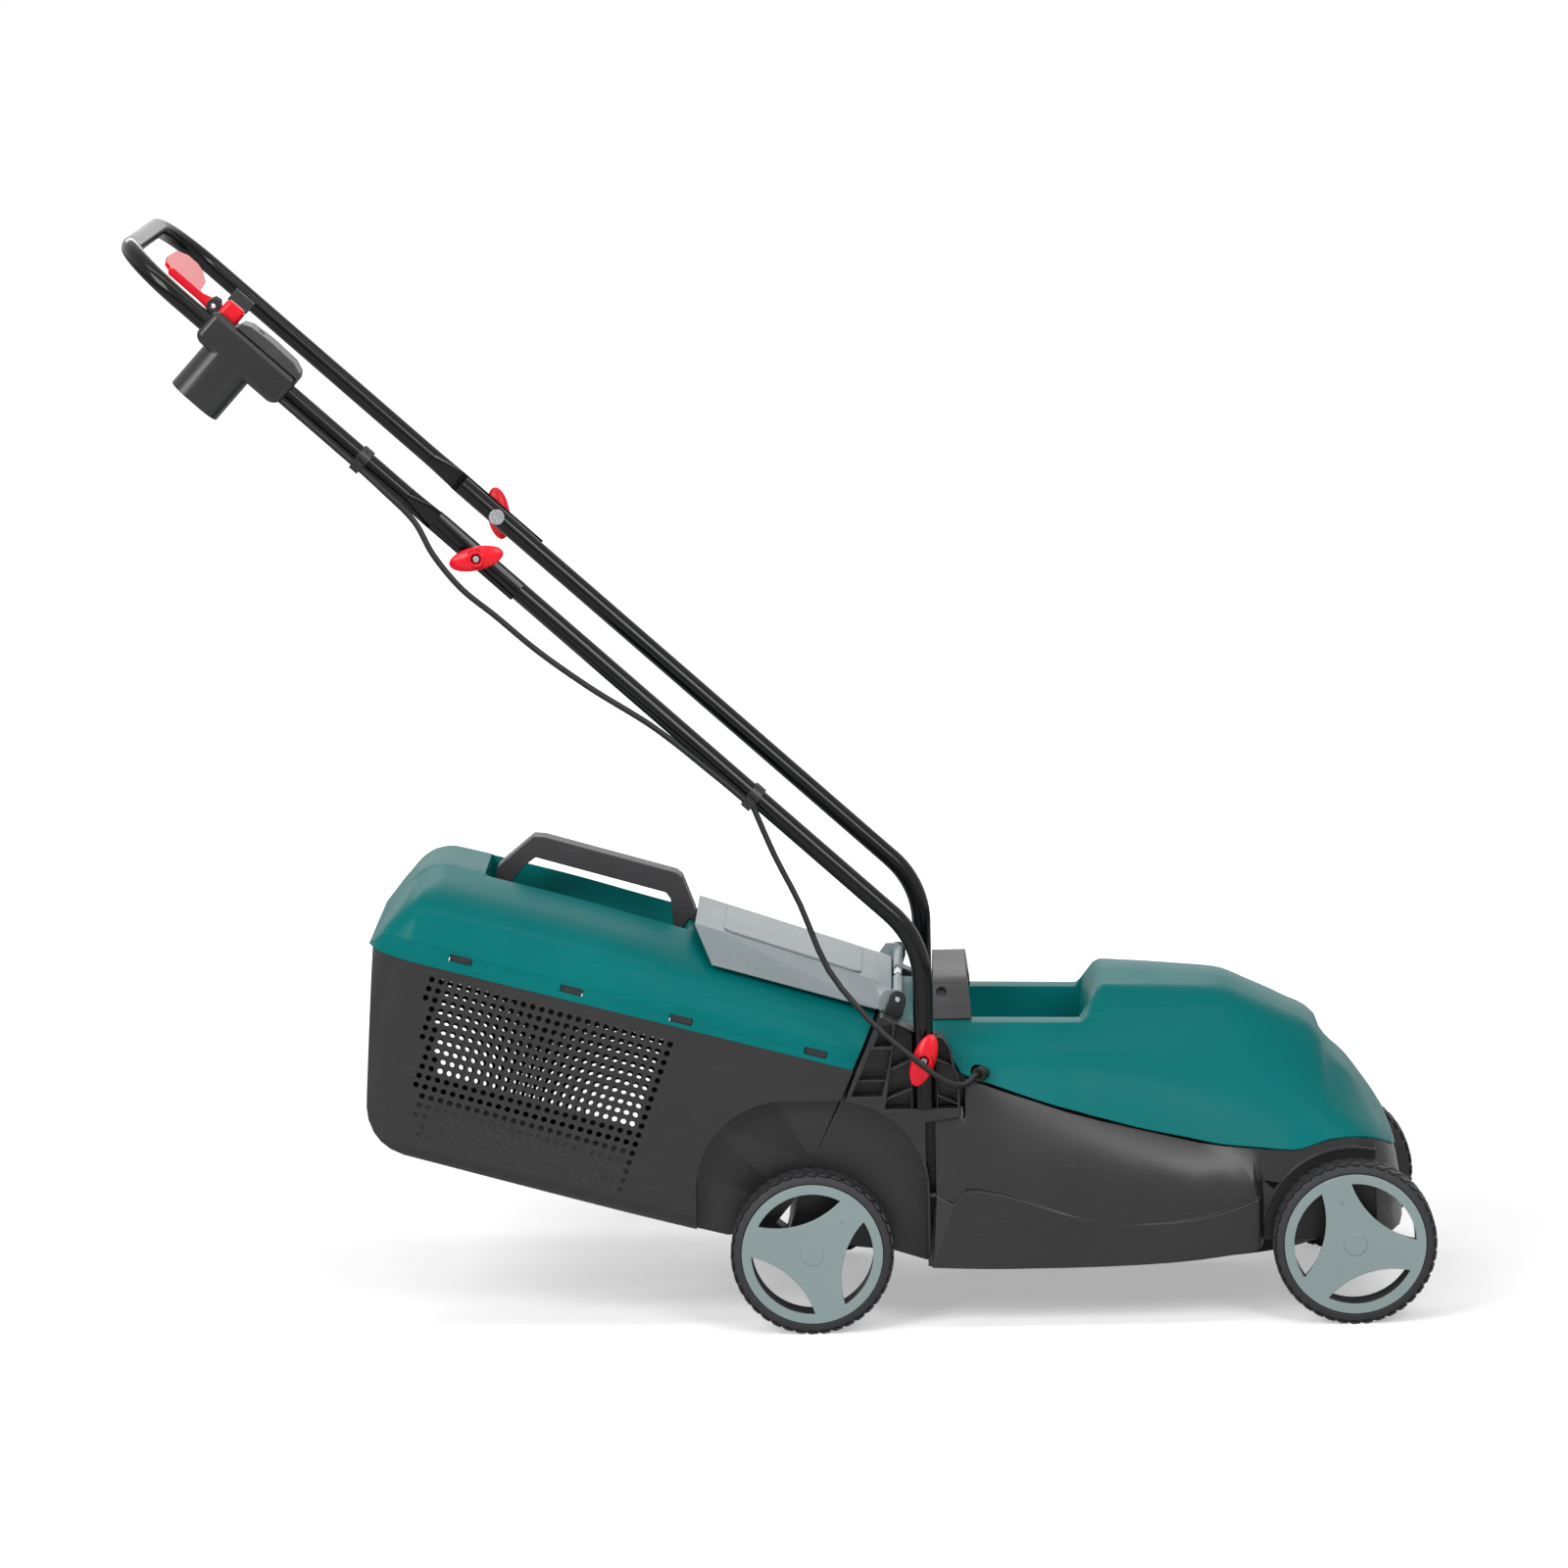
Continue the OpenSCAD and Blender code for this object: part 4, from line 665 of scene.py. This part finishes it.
class MOWER_OT_motor_cover(bpy.types.Operator):
    """Dresses the motor cover and the carry handle on it"""

    bl_idname = "mower.motor_cover"
    bl_label = "Motor cover"

    # the hole for the lead's grommet and its twin: radius in mm, turn in degrees, and place
    grommet = 7.05, 25, (0.187, 0.168, 0.251)
    # along, rim half width and height, side height, hump foot half width and height, shoulder half width and
    # height, edge half width and height, middle height
    rows = [
        [77, 150, 290, 294, 115, 300, 86, 301, 70, 302, 303],
        [103, 150.5, 288, 292, 115, 299, 86, 300, 70, 301, 302],
        [108, 150.5, 287, 291, 115, 294, 86, 294, 84, 251, 250],
        [130, 151, 284, 290, 115, 293.5, 86, 293, 84, 251, 250],
        [138, 157, 270, 284, 115, 293.5, 86, 293, 84, 251, 250],
        [148, 166, 252, 278, 115, 293.5, 86, 293, 84, 251, 250],
        [176, 167, 241, 272, 115, 293, 86, 292.5, 84, 251, 250],
        [242, 167.5, 217, 262, 115, 291.5, 86, 291, 84, 251, 250],
        [266, 167.5, 210, 258, 115, 291, 86, 290.5, 84, 252, 251],
        [272, 167.5, 208, 256, 114, 292, 86, 300, 82, 294, 290],
        [290, 167.5, 203, 252, 113, 290, 82, 318, 68, 322, 325],
        [318, 167.5, 195, 245, 113, 286, 82, 315, 68, 320.5, 325],
        [366, 167, 184, 232, 113, 276.5, 82, 308, 66, 317, 321.5],
        [405, 166.5, 175.5, 220, 113, 266, 81, 302, 64, 313, 318],
        [438, 166, 172, 210, 113, 255, 80, 290, 62, 300, 304.5],
        [472, 166, 169, 201, 113, 241, 78, 273, 60, 284, 288],
        [503, 166, 178, 198, 113, 222, 76, 253, 58, 265, 269.5],
        [507, 165.5, 179, 197, 113, 219, 76, 243, 58, 253, 258],
        [534, 163, 181, 190, 113, 201, 76, 216, 58, 224, 227],
        [551, 152, 177, 182, 112, 190, 76, 197, 56, 201, 203],
        [563, 132, 170, 173, 106, 178, 73, 181, 54, 183, 184],
        [572, 101, 161, 162, 86, 165, 64, 166, 46, 167, 168],
        [577, 60, 153, 153.6, 48, 154, 38, 154.6, 30, 155, 155.4]]
    hump_start = 268

    def execute(self, context):
        cover = swept_shell("motor_cover_form", self.rows, self.step, self.section)
        radius, turn, (x, y, z) = self.grommet
        for side in (-1, 1):
            hole = solid("hole", lambda bm: turned(bm, [(radius, -30), (radius, 30)], 32))
            outward = Matrix.Rotation(math.radians(-turn * side), 4, "Z")
            settle(hole, Matrix.Translation((x, y * side, z)) @ outward)
            carve(cover, [hole], "DIFFERENCE")
        hand_over(polish(cover, 0.5, 34), ["motor_cover"])
        dress("carry_handle", 0.7, 24)
        return {"FINISHED"}

    def step(self, x):
        """Sections stand closer over the hump."""
        return 7 if x > 262 else 14

    def section(self, row):
        """A section of the cover: crisp round the sunk pocket, soft over the hump."""
        along, rim, rim_z, side_z, foot, foot_z, shoulder, shoulder_z, edge, edge_z, middle_z = row
        half = [Vector((along + REAR_AXLE, y, z)) for y, z in (
            (rim, rim_z), (rim * 0.62 + foot * 0.38 + 4, side_z), (foot, foot_z), (shoulder, shoulder_z),
            (edge, edge_z), (edge * 0.5, edge_z * 0.3 + middle_z * 0.7), (0, middle_z))]
        soft = 0.03 + 0.21 * min(1, max(0, (along - self.hump_start) / 20))
        cuts = [0, 0.3, max(0.1, soft), soft, soft, 0.3, 0.3, 0.3, soft, soft, max(0.1, soft), 0.3, 0]
        once = softened(both_sides(half), cuts)
        return softened(once, [0.25] * len(once))


class MOWER_OT_motor(bpy.types.Operator):
    """Dresses the motor, its fan and the blade under the deck"""

    bl_idname = "mower.motor"
    bl_label = "Motor and blade"

    def execute(self, context):
        for name in ("motor_lower_bracket", "motor_upper_bracket", "motor_stator", "motor_rotor",
                     "motor_shaft", "lower_bearing", "upper_bearing", "cooling_fan", "run_capacitor",
                     "blade_carrier", "blade", "blade_washer", "blade_bolt"):
            dress(name, 0.3)
        return {"FINISHED"}


class MOWER_OT_wheels(bpy.types.Operator):
    """Dresses the wheels, grows their tread bars, and dresses hubcaps and axles"""

    bl_idname = "mower.wheels"
    bl_label = "Wheels"

    def execute(self, context):
        shapes = context.scene.mower_shapes
        tree = tread_tree()
        for corner in ("front_left", "front_right", "rear_left", "rear_right"):
            node = corner + "_wheel"
            low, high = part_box(node)
            centre, half, radius = (low + high) / 2, (high - low).y / 2 / MM, (high - low).z / 2 / MM
            side = 1 if centre.y > 0 else -1
            wheel = self.web(node, centre)
            profile = self.carcass(radius - shapes.bar_height / MM + 0.4, half)
            tyre = solid("carcass", lambda bm: lathe(bm, profile, 96))
            settle(tyre, Matrix.Translation(centre) @ Matrix.Scale(-side, 4, (0, 1, 0)))
            carve(wheel, [tyre], "UNION")
            wheel.name = node + "_form"
            hand_over(polish(wheel, 0.3, 32), [node])
            bars = grown(tree, node + "_tread", Radius=(radius - 0.35) * MM - shapes.bar_height / 2,
                         Bars=shapes.bars, Bar_Length=(half - 1.6) * MM, Bar_Width=shapes.bar_width,
                         Bar_Height=shapes.bar_height, Row_Offset=(half - 1.0) / 2 * MM, Centre=centre,
                         Material=MATERIALS["tyre"])
            polish(bars, 0.3, 30, 1)
            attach(bars, BODY_OF[node])
            dress(corner + "_hubcap", 0.5)
        for name in ("front_axle", "rear_axle", "wheel_retainers"):
            dress(name, 0.3)
        return {"FINISHED"}

    def web(self, node, centre):
        """The spoked web and hub of a CAD wheel, freed of its tyre."""
        wheel = own_shape(node, node + "_web")
        core = solid("core", lambda bm: turned(bm, [(60.4, -40), (60.4, 40)], 96))
        return carve(wheel, [settle(core, Matrix.Translation(centre))], "INTERSECT")

    def carcass(self, radius, half):
        """The tyre's section as (radius, y) in mm; its outer face, towards -y, has a seat for the hubcap."""
        inner, seat = 59.8, 69.3
        return [
            (inner, half - 0.2), (65.6, half), (radius - 4.5, half - 0.8), (radius - 1.6, half - 2.6),
            (radius, half - 6), (radius, -half + 6), (radius - 1.6, -half + 2.6), (radius - 4.5, -half + 0.8),
            (70.4, -half + 0.2), (69.5, -half + 0.9), (seat, -half + 4), (inner, -half + 4)]


class MOWER_OT_flap(bpy.types.Operator):
    """Dresses the rear flap with its pin and spring"""

    bl_idname = "mower.flap"
    bl_label = "Rear flap"

    def execute(self, context):
        dress("rear_flap", 0.6, 24)
        # the raised field in the middle of the flap
        field = solid("flap_field", lambda bm: slab(bm, rounded(142, 150, 11), -0.6, 1.5))
        settle(field, leaning((0.0045, 0, 0.35908), math.atan2(54.9, 159)))
        field.data.materials.append(MATERIALS["grey_flap"])
        polish(field, 0.9, 40, 3)
        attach(field, BODY_OF["rear_flap"])
        dress("flap_pin", 0.2)
        dress("flap_spring", 0)
        return {"FINISHED"}


class MOWER_OT_grass_box(bpy.types.Operator):
    """Dresses the grass box, its lid and its handle"""

    bl_idname = "mower.grass_box"
    bl_label = "Grass box"

    # along the rim, rim half width, side top, shoulder half width and height, ridge, recess edge and middle
    rows = [
        [3, 123, -3, 120, -2.9, -2.8, -2.7, -2.6], [8, 141, 5, 132, 8, 11, 13, 13],
        [17, 155, 16, 140, 28, 33, 35, 36], [32, 164, 17, 147, 50, 62, 65, 65],
        [43, 167.5, 17, 150, 57, 72, 75, 75], [60, 168.5, 17, 150, 59, 79, 80.5, 81],
        [96, 168.5, 17, 150, 59, 80, 81, 81], [104, 168.5, 17, 150, 59, 80, 50, 50],
        [165, 168.5, 17, 150, 59, 80, 50, 50], [268, 168.5, 17, 150, 58, 77, 50, 50],
        [294, 168.5, 17, 150, 53, 76.5, 50, 50], [303, 168.5, 17, 150, 51, 76.5, 76, 76],
        [351, 168.5, 17, 150, 49.5, 75, 76, 76.5], [480, 168.5, 17, 150, 46.5, 67, 67.5, 68],
        [491, 168.5, 17, 150, 44, 65.5, 66, 66.5]]
    # along and up, for each slot of the rim band
    slots = [[94.5, 9.4], [206.5, 6.5], [317, 3.8], [452, 4]]
    # stations along the rim and the height of the band at each
    band = [82, 110, 166, 221, 272, 302, 491], [16, 12.2, 10.9, 9.6, 7.2, 5.5, 4.6]
    foot, front_lean = -4, 0.173

    def execute(self, context):
        dress("grass_box", 0, 12)
        self.lid("grass_box_lid")
        dress("grass_box_handle", 0.9, 24)
        return {"FINISHED"}

    def step(self, x):
        """Sections stand close where the lid curves up from its rear rim."""
        return 3 if x < 60 else 8 if x < 104 else 20

    def section(self, row):
        """A section of the lid: a low band proud of the wall, a soft shoulder and a crisp-edged recess."""
        along, rim, side_z, shoulder, shoulder_z, ridge_z, recess_z, middle_z = row
        lean = self.front_lean if along > 490.5 else 0
        stations, heights = self.band
        band_z = eased(stations, heights, min(stations[-1], max(stations[0], along)))
        band_z = max(self.foot + 0.2, min(band_z, side_z - 1))
        half = [Vector((along + lean * (z - self.foot), y, z)) for y, z in (
            (rim, self.foot), (rim, band_z), (rim - 1.2, band_z + 0.5), (rim - 1.2, side_z),
            (shoulder, shoulder_z), (min(64, rim * 0.5), ridge_z), (min(59, rim * 0.47), recess_z),
            (0, middle_z))]
        edge = 0.04 if 99 < along < 299 else 0.2
        cuts = [0, 0.03, 0.1, 0.22, 0.25, edge, edge, 0.2, edge, edge, 0.25, 0.22, 0.1, 0.03, 0]
        once = softened(both_sides(half), cuts)
        return softened(once, [0.25] * len(once))

    def lid(self, node):
        """The domed lid, with its slotted rim band and its front wall."""
        lid = swept_shell(node + "_form", self.rows, self.step, self.section)
        front = solid("front", lambda bm: slab(bm, [
            (-159, -3.9), (-159, 16), (-147, 43.4), (-62, 64), (62, 64), (147, 43.4), (159, 16), (159, -3.9)],
            -3, 0))
        settle(front, Matrix(((0, self.front_lean, 1, 0.4917), (1, 0, 0, 0), (0, 1, 0, 0), (0, 0, 0, 1))))
        cuts = []
        for along, up in self.slots:
            for side in (-1, 1):
                cut = solid("slot", lambda bm: slab(bm, rounded(22.4, 30, 1, 2), -3.6, 3.6))
                cuts.append(settle(cut, Matrix.Translation((along * MM, 0.160 * side, up * MM))))
        # the quick solver, because the shell's skins come within a hair of each other at its rear rim
        carve(lid, cuts, "DIFFERENCE", "FAST")
        carve(lid, [front], "UNION", "FAST")
        hand_over(polish(settle(lid, leaning(BOX_RIM, BOX_LEAN)), 0.4, 34), [node])


class MOWER_OT_tubes(bpy.types.Operator):
    """Dresses the handle tubes with their bolts and wing knobs"""

    bl_idname = "mower.tubes"
    bl_label = "Tubes and knobs"

    def execute(self, context):
        for name in ("lower_tube_left", "lower_tube_right", "upper_handle"):
            dress(name, 0.3, 32)
        for name in ("mid_bolts", "base_bolts"):
            dress(name, 0.3)
        for name, turn in (("mid_knob_left", 97), ("mid_knob_right", 12), ("base_knob_left", 80),
                           ("base_knob_right", 70)):
            self.wing_knob(name, turn, context.scene.mower_shapes.wing / MM)
        return {"FINISHED"}

    def wing_knob(self, node, turn, length):
        """A soft two-winged nut: a domed leaf across a round boss, with a hexagon pocket over the bolt."""
        low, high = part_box(node)
        side = 1 if low.y > 0 else -1
        seat = low.y if side > 0 else high.y
        half_width, mid_plane = 11.6, 13.0 * MM
        leaf = solid(node + "_form", lambda bm: turned(bm, [
            (1, 5.0), (7, 5.2), (9.6, 6.6), (11.2, 9.2), (half_width, 11.6), (11.0, 14.2), (8.8, 16.4),
            (5.6, 17.5), (1, 17.9)], 48))
        settle(leaf, Matrix.Diagonal((length / 2 / half_width, 1, 1, 1)))
        for v in leaf.data.vertices:
            # the tips are thinner than the middle
            out = abs(v.co.x) / (length / 2 * MM)
            v.co.y = mid_plane + (v.co.y - mid_plane) * (1 - 0.42 * out * out)
        boss = solid("boss", lambda bm: turned(bm, [
            (8.4, 0), (9, 0.6), (9, 8), (8.6, 15), (8.6, 17.1), (7.8, 18)], 40))
        pocket = solid("pocket", lambda bm: turned(bm, [(5.6, 10), (5.6, 30)], 6))
        bore = solid("bore", lambda bm: turned(bm, [(3.06, -4), (3.06, 12)], 32))
        carve(leaf, [boss], "UNION")
        carve(leaf, [pocket, bore], "DIFFERENCE")
        middle = (low + high) / 2
        place = leaning((middle.x, seat, middle.z), math.radians(-turn)) @ Matrix.Scale(side, 4, (0, 1, 0))
        hand_over(polish(settle(leaf, place), 0.7, 34, 3), [node])


class MOWER_OT_switch_box(bpy.types.Operator):
    """Dresses the switch box, its lever, button and inlet"""

    bl_idname = "mower.switch_box"
    bl_label = "Switch box"

    def execute(self, context):
        self.housing("switch_housing")
        for name, radius in (("switch_cover", 0.5), ("lock_button", 0.4), ("switch_lever", 0.6),
                             ("lever_bracket", 0.4), ("microswitch", 0.2), ("inlet_pins", 0.2),
                             ("switch_screws", 0.2)):
            dress(name, radius)
        return {"FINISHED"}

    def housing(self, node):
        """The switch box: a soft-edged block on the tube, and a round-cornered inlet barrel under it."""
        # in metres along the handle from its fold, across the machine and up off the tube's axis
        inlet, hatch = (-0.303, -0.185, 0), (-0.2795, -0.185, 0)
        button, lever_pin = (-0.331, -0.185, 0), (-0.349, 0, 0.015)
        tube_axis, lead_axis = (0, -0.186, 0), (0, -0.2007, -0.008)
        block = solid(node + "_form", lambda bm: slab(bm, [
            (-340, -17), (-246, -17), (-240, -9), (-240, 18), (-344, 18), (-344, -10)], -208, -162))
        settle(block, SWAP_YZ)
        soft = block.modifiers.new("soft", "BEVEL")
        soft.width = 6.5 * MM
        soft.segments = 5
        soft.angle_limit = math.radians(50)
        applied(block)
        barrel = solid("barrel", lambda bm: slab(bm, rounded(56, 46, 20, 8), -65, -12))
        settle(barrel, Matrix.Translation(inlet))
        ear = [(-341, 3), (-348, 5), (-354, 11), (-356, 17), (-353, 23), (-347, 24), (-341, 18)]
        ears = [settle(solid("ear", lambda bm, y=y: slab(bm, ear, y - 1.3, y + 1.3)), SWAP_YZ)
                for y in (-178.4, -162.6)]
        carve(block, [barrel, *ears], "UNION")
        to_x, to_y = Matrix.Rotation(math.radians(-90), 4, "Z"), Matrix.Identity(4)
        to_z = Matrix.Rotation(math.radians(90), 4, "X")
        cuts = []
        for radius, start, end, place, turn in (
                (9.6, -360, -230, tube_axis, to_x), (20.5, -66, -43, inlet, to_z),
                (18.5, -44, -10, inlet, to_z), (7.9, -177.1, -163.9, lever_pin, to_y),
                (2.6, -190, -150, lever_pin, to_y), (3.2, -245, -200, lead_axis, to_x)):
            tool = solid("tool", lambda bm, r=radius, a=start, b=end: turned(bm, [(r, a), (r, b)], 48))
            cuts.append(settle(tool, Matrix.Translation(place) @ turn))
        for name, outline, low, place in (("hollow", rounded(67, 36, 3), 11, hatch),
                                          ("way", rounded(24.4, 16.4, 5.6), 9.7, button)):
            tool = solid(name, lambda bm: slab(bm, outline, low, 30))
            cuts.append(settle(tool, Matrix.Translation(place)))
        carve(block, cuts, "DIFFERENCE")
        hand_over(polish(settle(block, leaning(FOLD, HANDLE_LEAN)), 0.6, 34), [node])


class MOWER_OT_cable(bpy.types.Operator):
    """Dresses the mains lead that runs down the handle, and its clips"""

    bl_idname = "mower.cable"
    bl_label = "Cable"

    # the way of the slack from the upper clip to the lower one, as in the part's source
    slack = [(-401.1, -200.7, 861.6), (-395.9, -200.7, 856.9), (-376, -204, 838), (-347, -207, 808),
             (-329, -210, 775), (-303, -210, 742), (-271, -205, 714), (-231, -199, 678), (-181, -193, 640),
             (-121, -190, 600), (-65, -188, 553), (-38.3, -186.7, 529.3), (-33.2, -186.7, 524.5)]

    def execute(self, context):
        for name in ("cable_upper", "cable_lower"):
            dress(name, 0, 40)
        for name in ("cable_clip_upper", "cable_clip_lower"):
            dress(name, 0.4)
        # the slack of the lead bends over the handle's fold; this piece rides on no body, so it keeps its rest
        # shape
        first, *between, last = (Vector(p) for p in self.slack)
        slack = solid("cable_fold_form", lambda bm: tube(bm, [first, *course(between, 10), last], LEAD_RADIUS))
        hand_over(polish(slack, 0, 40), ["cable_fold"], rides=False)
        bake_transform(slack)
        return {"FINISHED"}


class MOWER_OT_stage(bpy.types.Operator):
    """Makes the floor, the lamps, the even light all round and the camera"""

    bl_idname = "mower.stage"
    bl_label = "Studio"

    def execute(self, context):
        scene = context.scene
        studio = scene.mower_studio
        half = studio.floor_size / 2
        mesh = bpy.data.meshes.new("studio_floor")
        corners = [(-half, -half, 0), (half, -half, 0), (half, half, 0), (-half, half, 0)]
        mesh.from_pydata(corners, [], [(0, 1, 2, 3)])
        floor = shown("studio_floor", mesh)
        mesh.materials.append(self.floor_finish())
        self.even_light(scene, studio.sky)
        # two soft boxes beside the viewer, one overhead, and one behind that draws the edges
        self.lamp(scene, "key", (-2.0, -2.8, 2.3), (-0.1, 0, 0.4), studio.key, (1.8, 1.8))
        self.lamp(scene, "fill", (1.6, -2.8, 2.2), (-0.1, 0, 0.45), studio.fill, (1.3, 1.3))
        self.lamp(scene, "top", (0.1, -0.9, 3.2), (0.1, 0, 0.3), studio.top, (3.2, 0.5))
        self.lamp(scene, "rim", (-0.6, 3.0, 2.4), (0, 0, 0.4), studio.rim, (3.0, 0.6))
        self.camera(scene, studio.lens)
        scene.view_settings.view_transform = "Standard"
        return {"FINISHED"}

    def floor_finish(self):
        """Matt white paper: it keeps a soft shadow, and lit parts read white to the camera."""
        material, tree, place = fresh("matt white paper")
        fibre = noise(tree, place, 40, 4.0)
        paper = add(tree, "ShaderNodeBsdfDiffuse", {
            "Color": mixed(tree, spread(tree, fibre, 0.0, 1.0), linear("#F0F0F0"), linear("#F4F4F4"))})
        rays = add(tree, "ShaderNodeLightPath").outputs
        away = add(tree, "ShaderNodeVectorMath", {0: place}, operation="LENGTH").outputs["Value"]
        level = add(tree, "ShaderNodeMapRange", {
            "Value": away, "From Min": 0.9, "From Max": 2.6, "To Min": 0.4, "To Max": 1.0},
            interpolation_type="SMOOTHSTEP").outputs["Result"]
        lift = add(tree, "ShaderNodeEmission", {
            "Color": (1, 1, 1, 1), "Strength": maths(tree, "MULTIPLY", rays["Is Camera Ray"], level)})
        both = add(tree, "ShaderNodeAddShader", {0: paper.outputs[0], 1: lift.outputs[0]})
        return close(material, tree, both)

    def even_light(self, scene, strength):
        """A white surround: at full white where it is seen or mirrored, and softer as a light."""
        world = bpy.data.worlds.new("studio")
        scene.world = world
        world.use_nodes = True
        tree = world.node_tree
        tree.nodes.clear()
        rays = add(tree, "ShaderNodeLightPath").outputs
        seen = maths(tree, "MAXIMUM", rays["Is Camera Ray"], rays["Is Glossy Ray"])
        seen = maths(tree, "MAXIMUM", seen, rays["Is Transmission Ray"])
        level = add(tree, "ShaderNodeMapRange", {"Value": seen, "To Min": strength, "To Max": 1.0})
        back = add(tree, "ShaderNodeBackground", {"Color": (1, 1, 1, 1), "Strength": level.outputs[0]})
        add(tree, "ShaderNodeOutputWorld", {"Surface": back.outputs[0]})

    def lamp(self, scene, name, place, aim, power, size):
        """A strip lamp that faces a point."""
        data = bpy.data.lights.new(name, "AREA")
        data.shape = "RECTANGLE"
        data.energy = power
        data.size, data.size_y = size
        made = bpy.data.objects.new(name, data)
        made.location = place
        made.rotation_euler = (Vector(aim) - Vector(place)).to_track_quat("-Z", "Y").to_euler()
        scene.collection.objects.link(made)

    def camera(self, scene, lens):
        """The camera stands at the machine's right side, a little above it."""
        yaw, pitch, roll = (math.radians(a) for a in (1.10, 8.42, 1.33))
        ahead = Vector((-math.sin(yaw) * math.cos(pitch), math.cos(yaw) * math.cos(pitch), -math.sin(pitch)))
        level = Vector((math.cos(yaw), math.sin(yaw), 0))
        above = level.cross(ahead)
        across = level * math.cos(roll) - above * math.sin(roll)
        upward = above * math.cos(roll) + level * math.sin(roll)
        data = bpy.data.cameras.new("camera")
        data.lens = lens
        data.sensor_width = 36
        data.clip_end = 200
        made = bpy.data.objects.new("camera", data)
        turn = Matrix((across, upward, -ahead)).transposed().to_4x4()
        made.matrix_world = Matrix.Translation((0.1368, -7.2139, 1.5832)) @ turn
        scene.collection.objects.link(made)
        scene.camera = made


PIECES = (MOWER_OT_finishes, MOWER_OT_deck, MOWER_OT_motor_cover, MOWER_OT_motor, MOWER_OT_wheels,
          MOWER_OT_flap, MOWER_OT_grass_box, MOWER_OT_tubes, MOWER_OT_switch_box, MOWER_OT_cable,
          MOWER_OT_stage)


class MOWER_PT_panel(bpy.types.Panel):
    """Lists the settings and one button for each piece"""

    bl_idname = "MOWER_PT_panel"
    bl_label = "Lawn mower"
    bl_space_type = "VIEW_3D"
    bl_region_type = "UI"
    bl_category = "Mower"

    def draw(self, context):
        scene = context.scene
        for group in (scene.mower_colours, scene.mower_shapes, scene.mower_studio):
            box = self.layout.box()
            for key in group.__annotations__:
                box.prop(group, key)
        for piece in PIECES:
            self.layout.operator(piece.bl_idname)


CLASSES = (MowerColours, MowerShapes, MowerStudio, *PIECES, MOWER_PT_panel)


def register():
    for cls in CLASSES:
        bpy.utils.register_class(cls)
    bpy.types.Scene.mower_colours = PointerProperty(type=MowerColours)
    bpy.types.Scene.mower_shapes = PointerProperty(type=MowerShapes)
    bpy.types.Scene.mower_studio = PointerProperty(type=MowerStudio)


def unregister():
    del bpy.types.Scene.mower_studio
    del bpy.types.Scene.mower_shapes
    del bpy.types.Scene.mower_colours
    for cls in reversed(CLASSES):
        bpy.utils.unregister_class(cls)


def main():
    register()
    for piece in PIECES:
        family, action = piece.bl_idname.split(".")
        getattr(getattr(bpy.ops, family), action)()


if __name__ == "__main__":
    main()
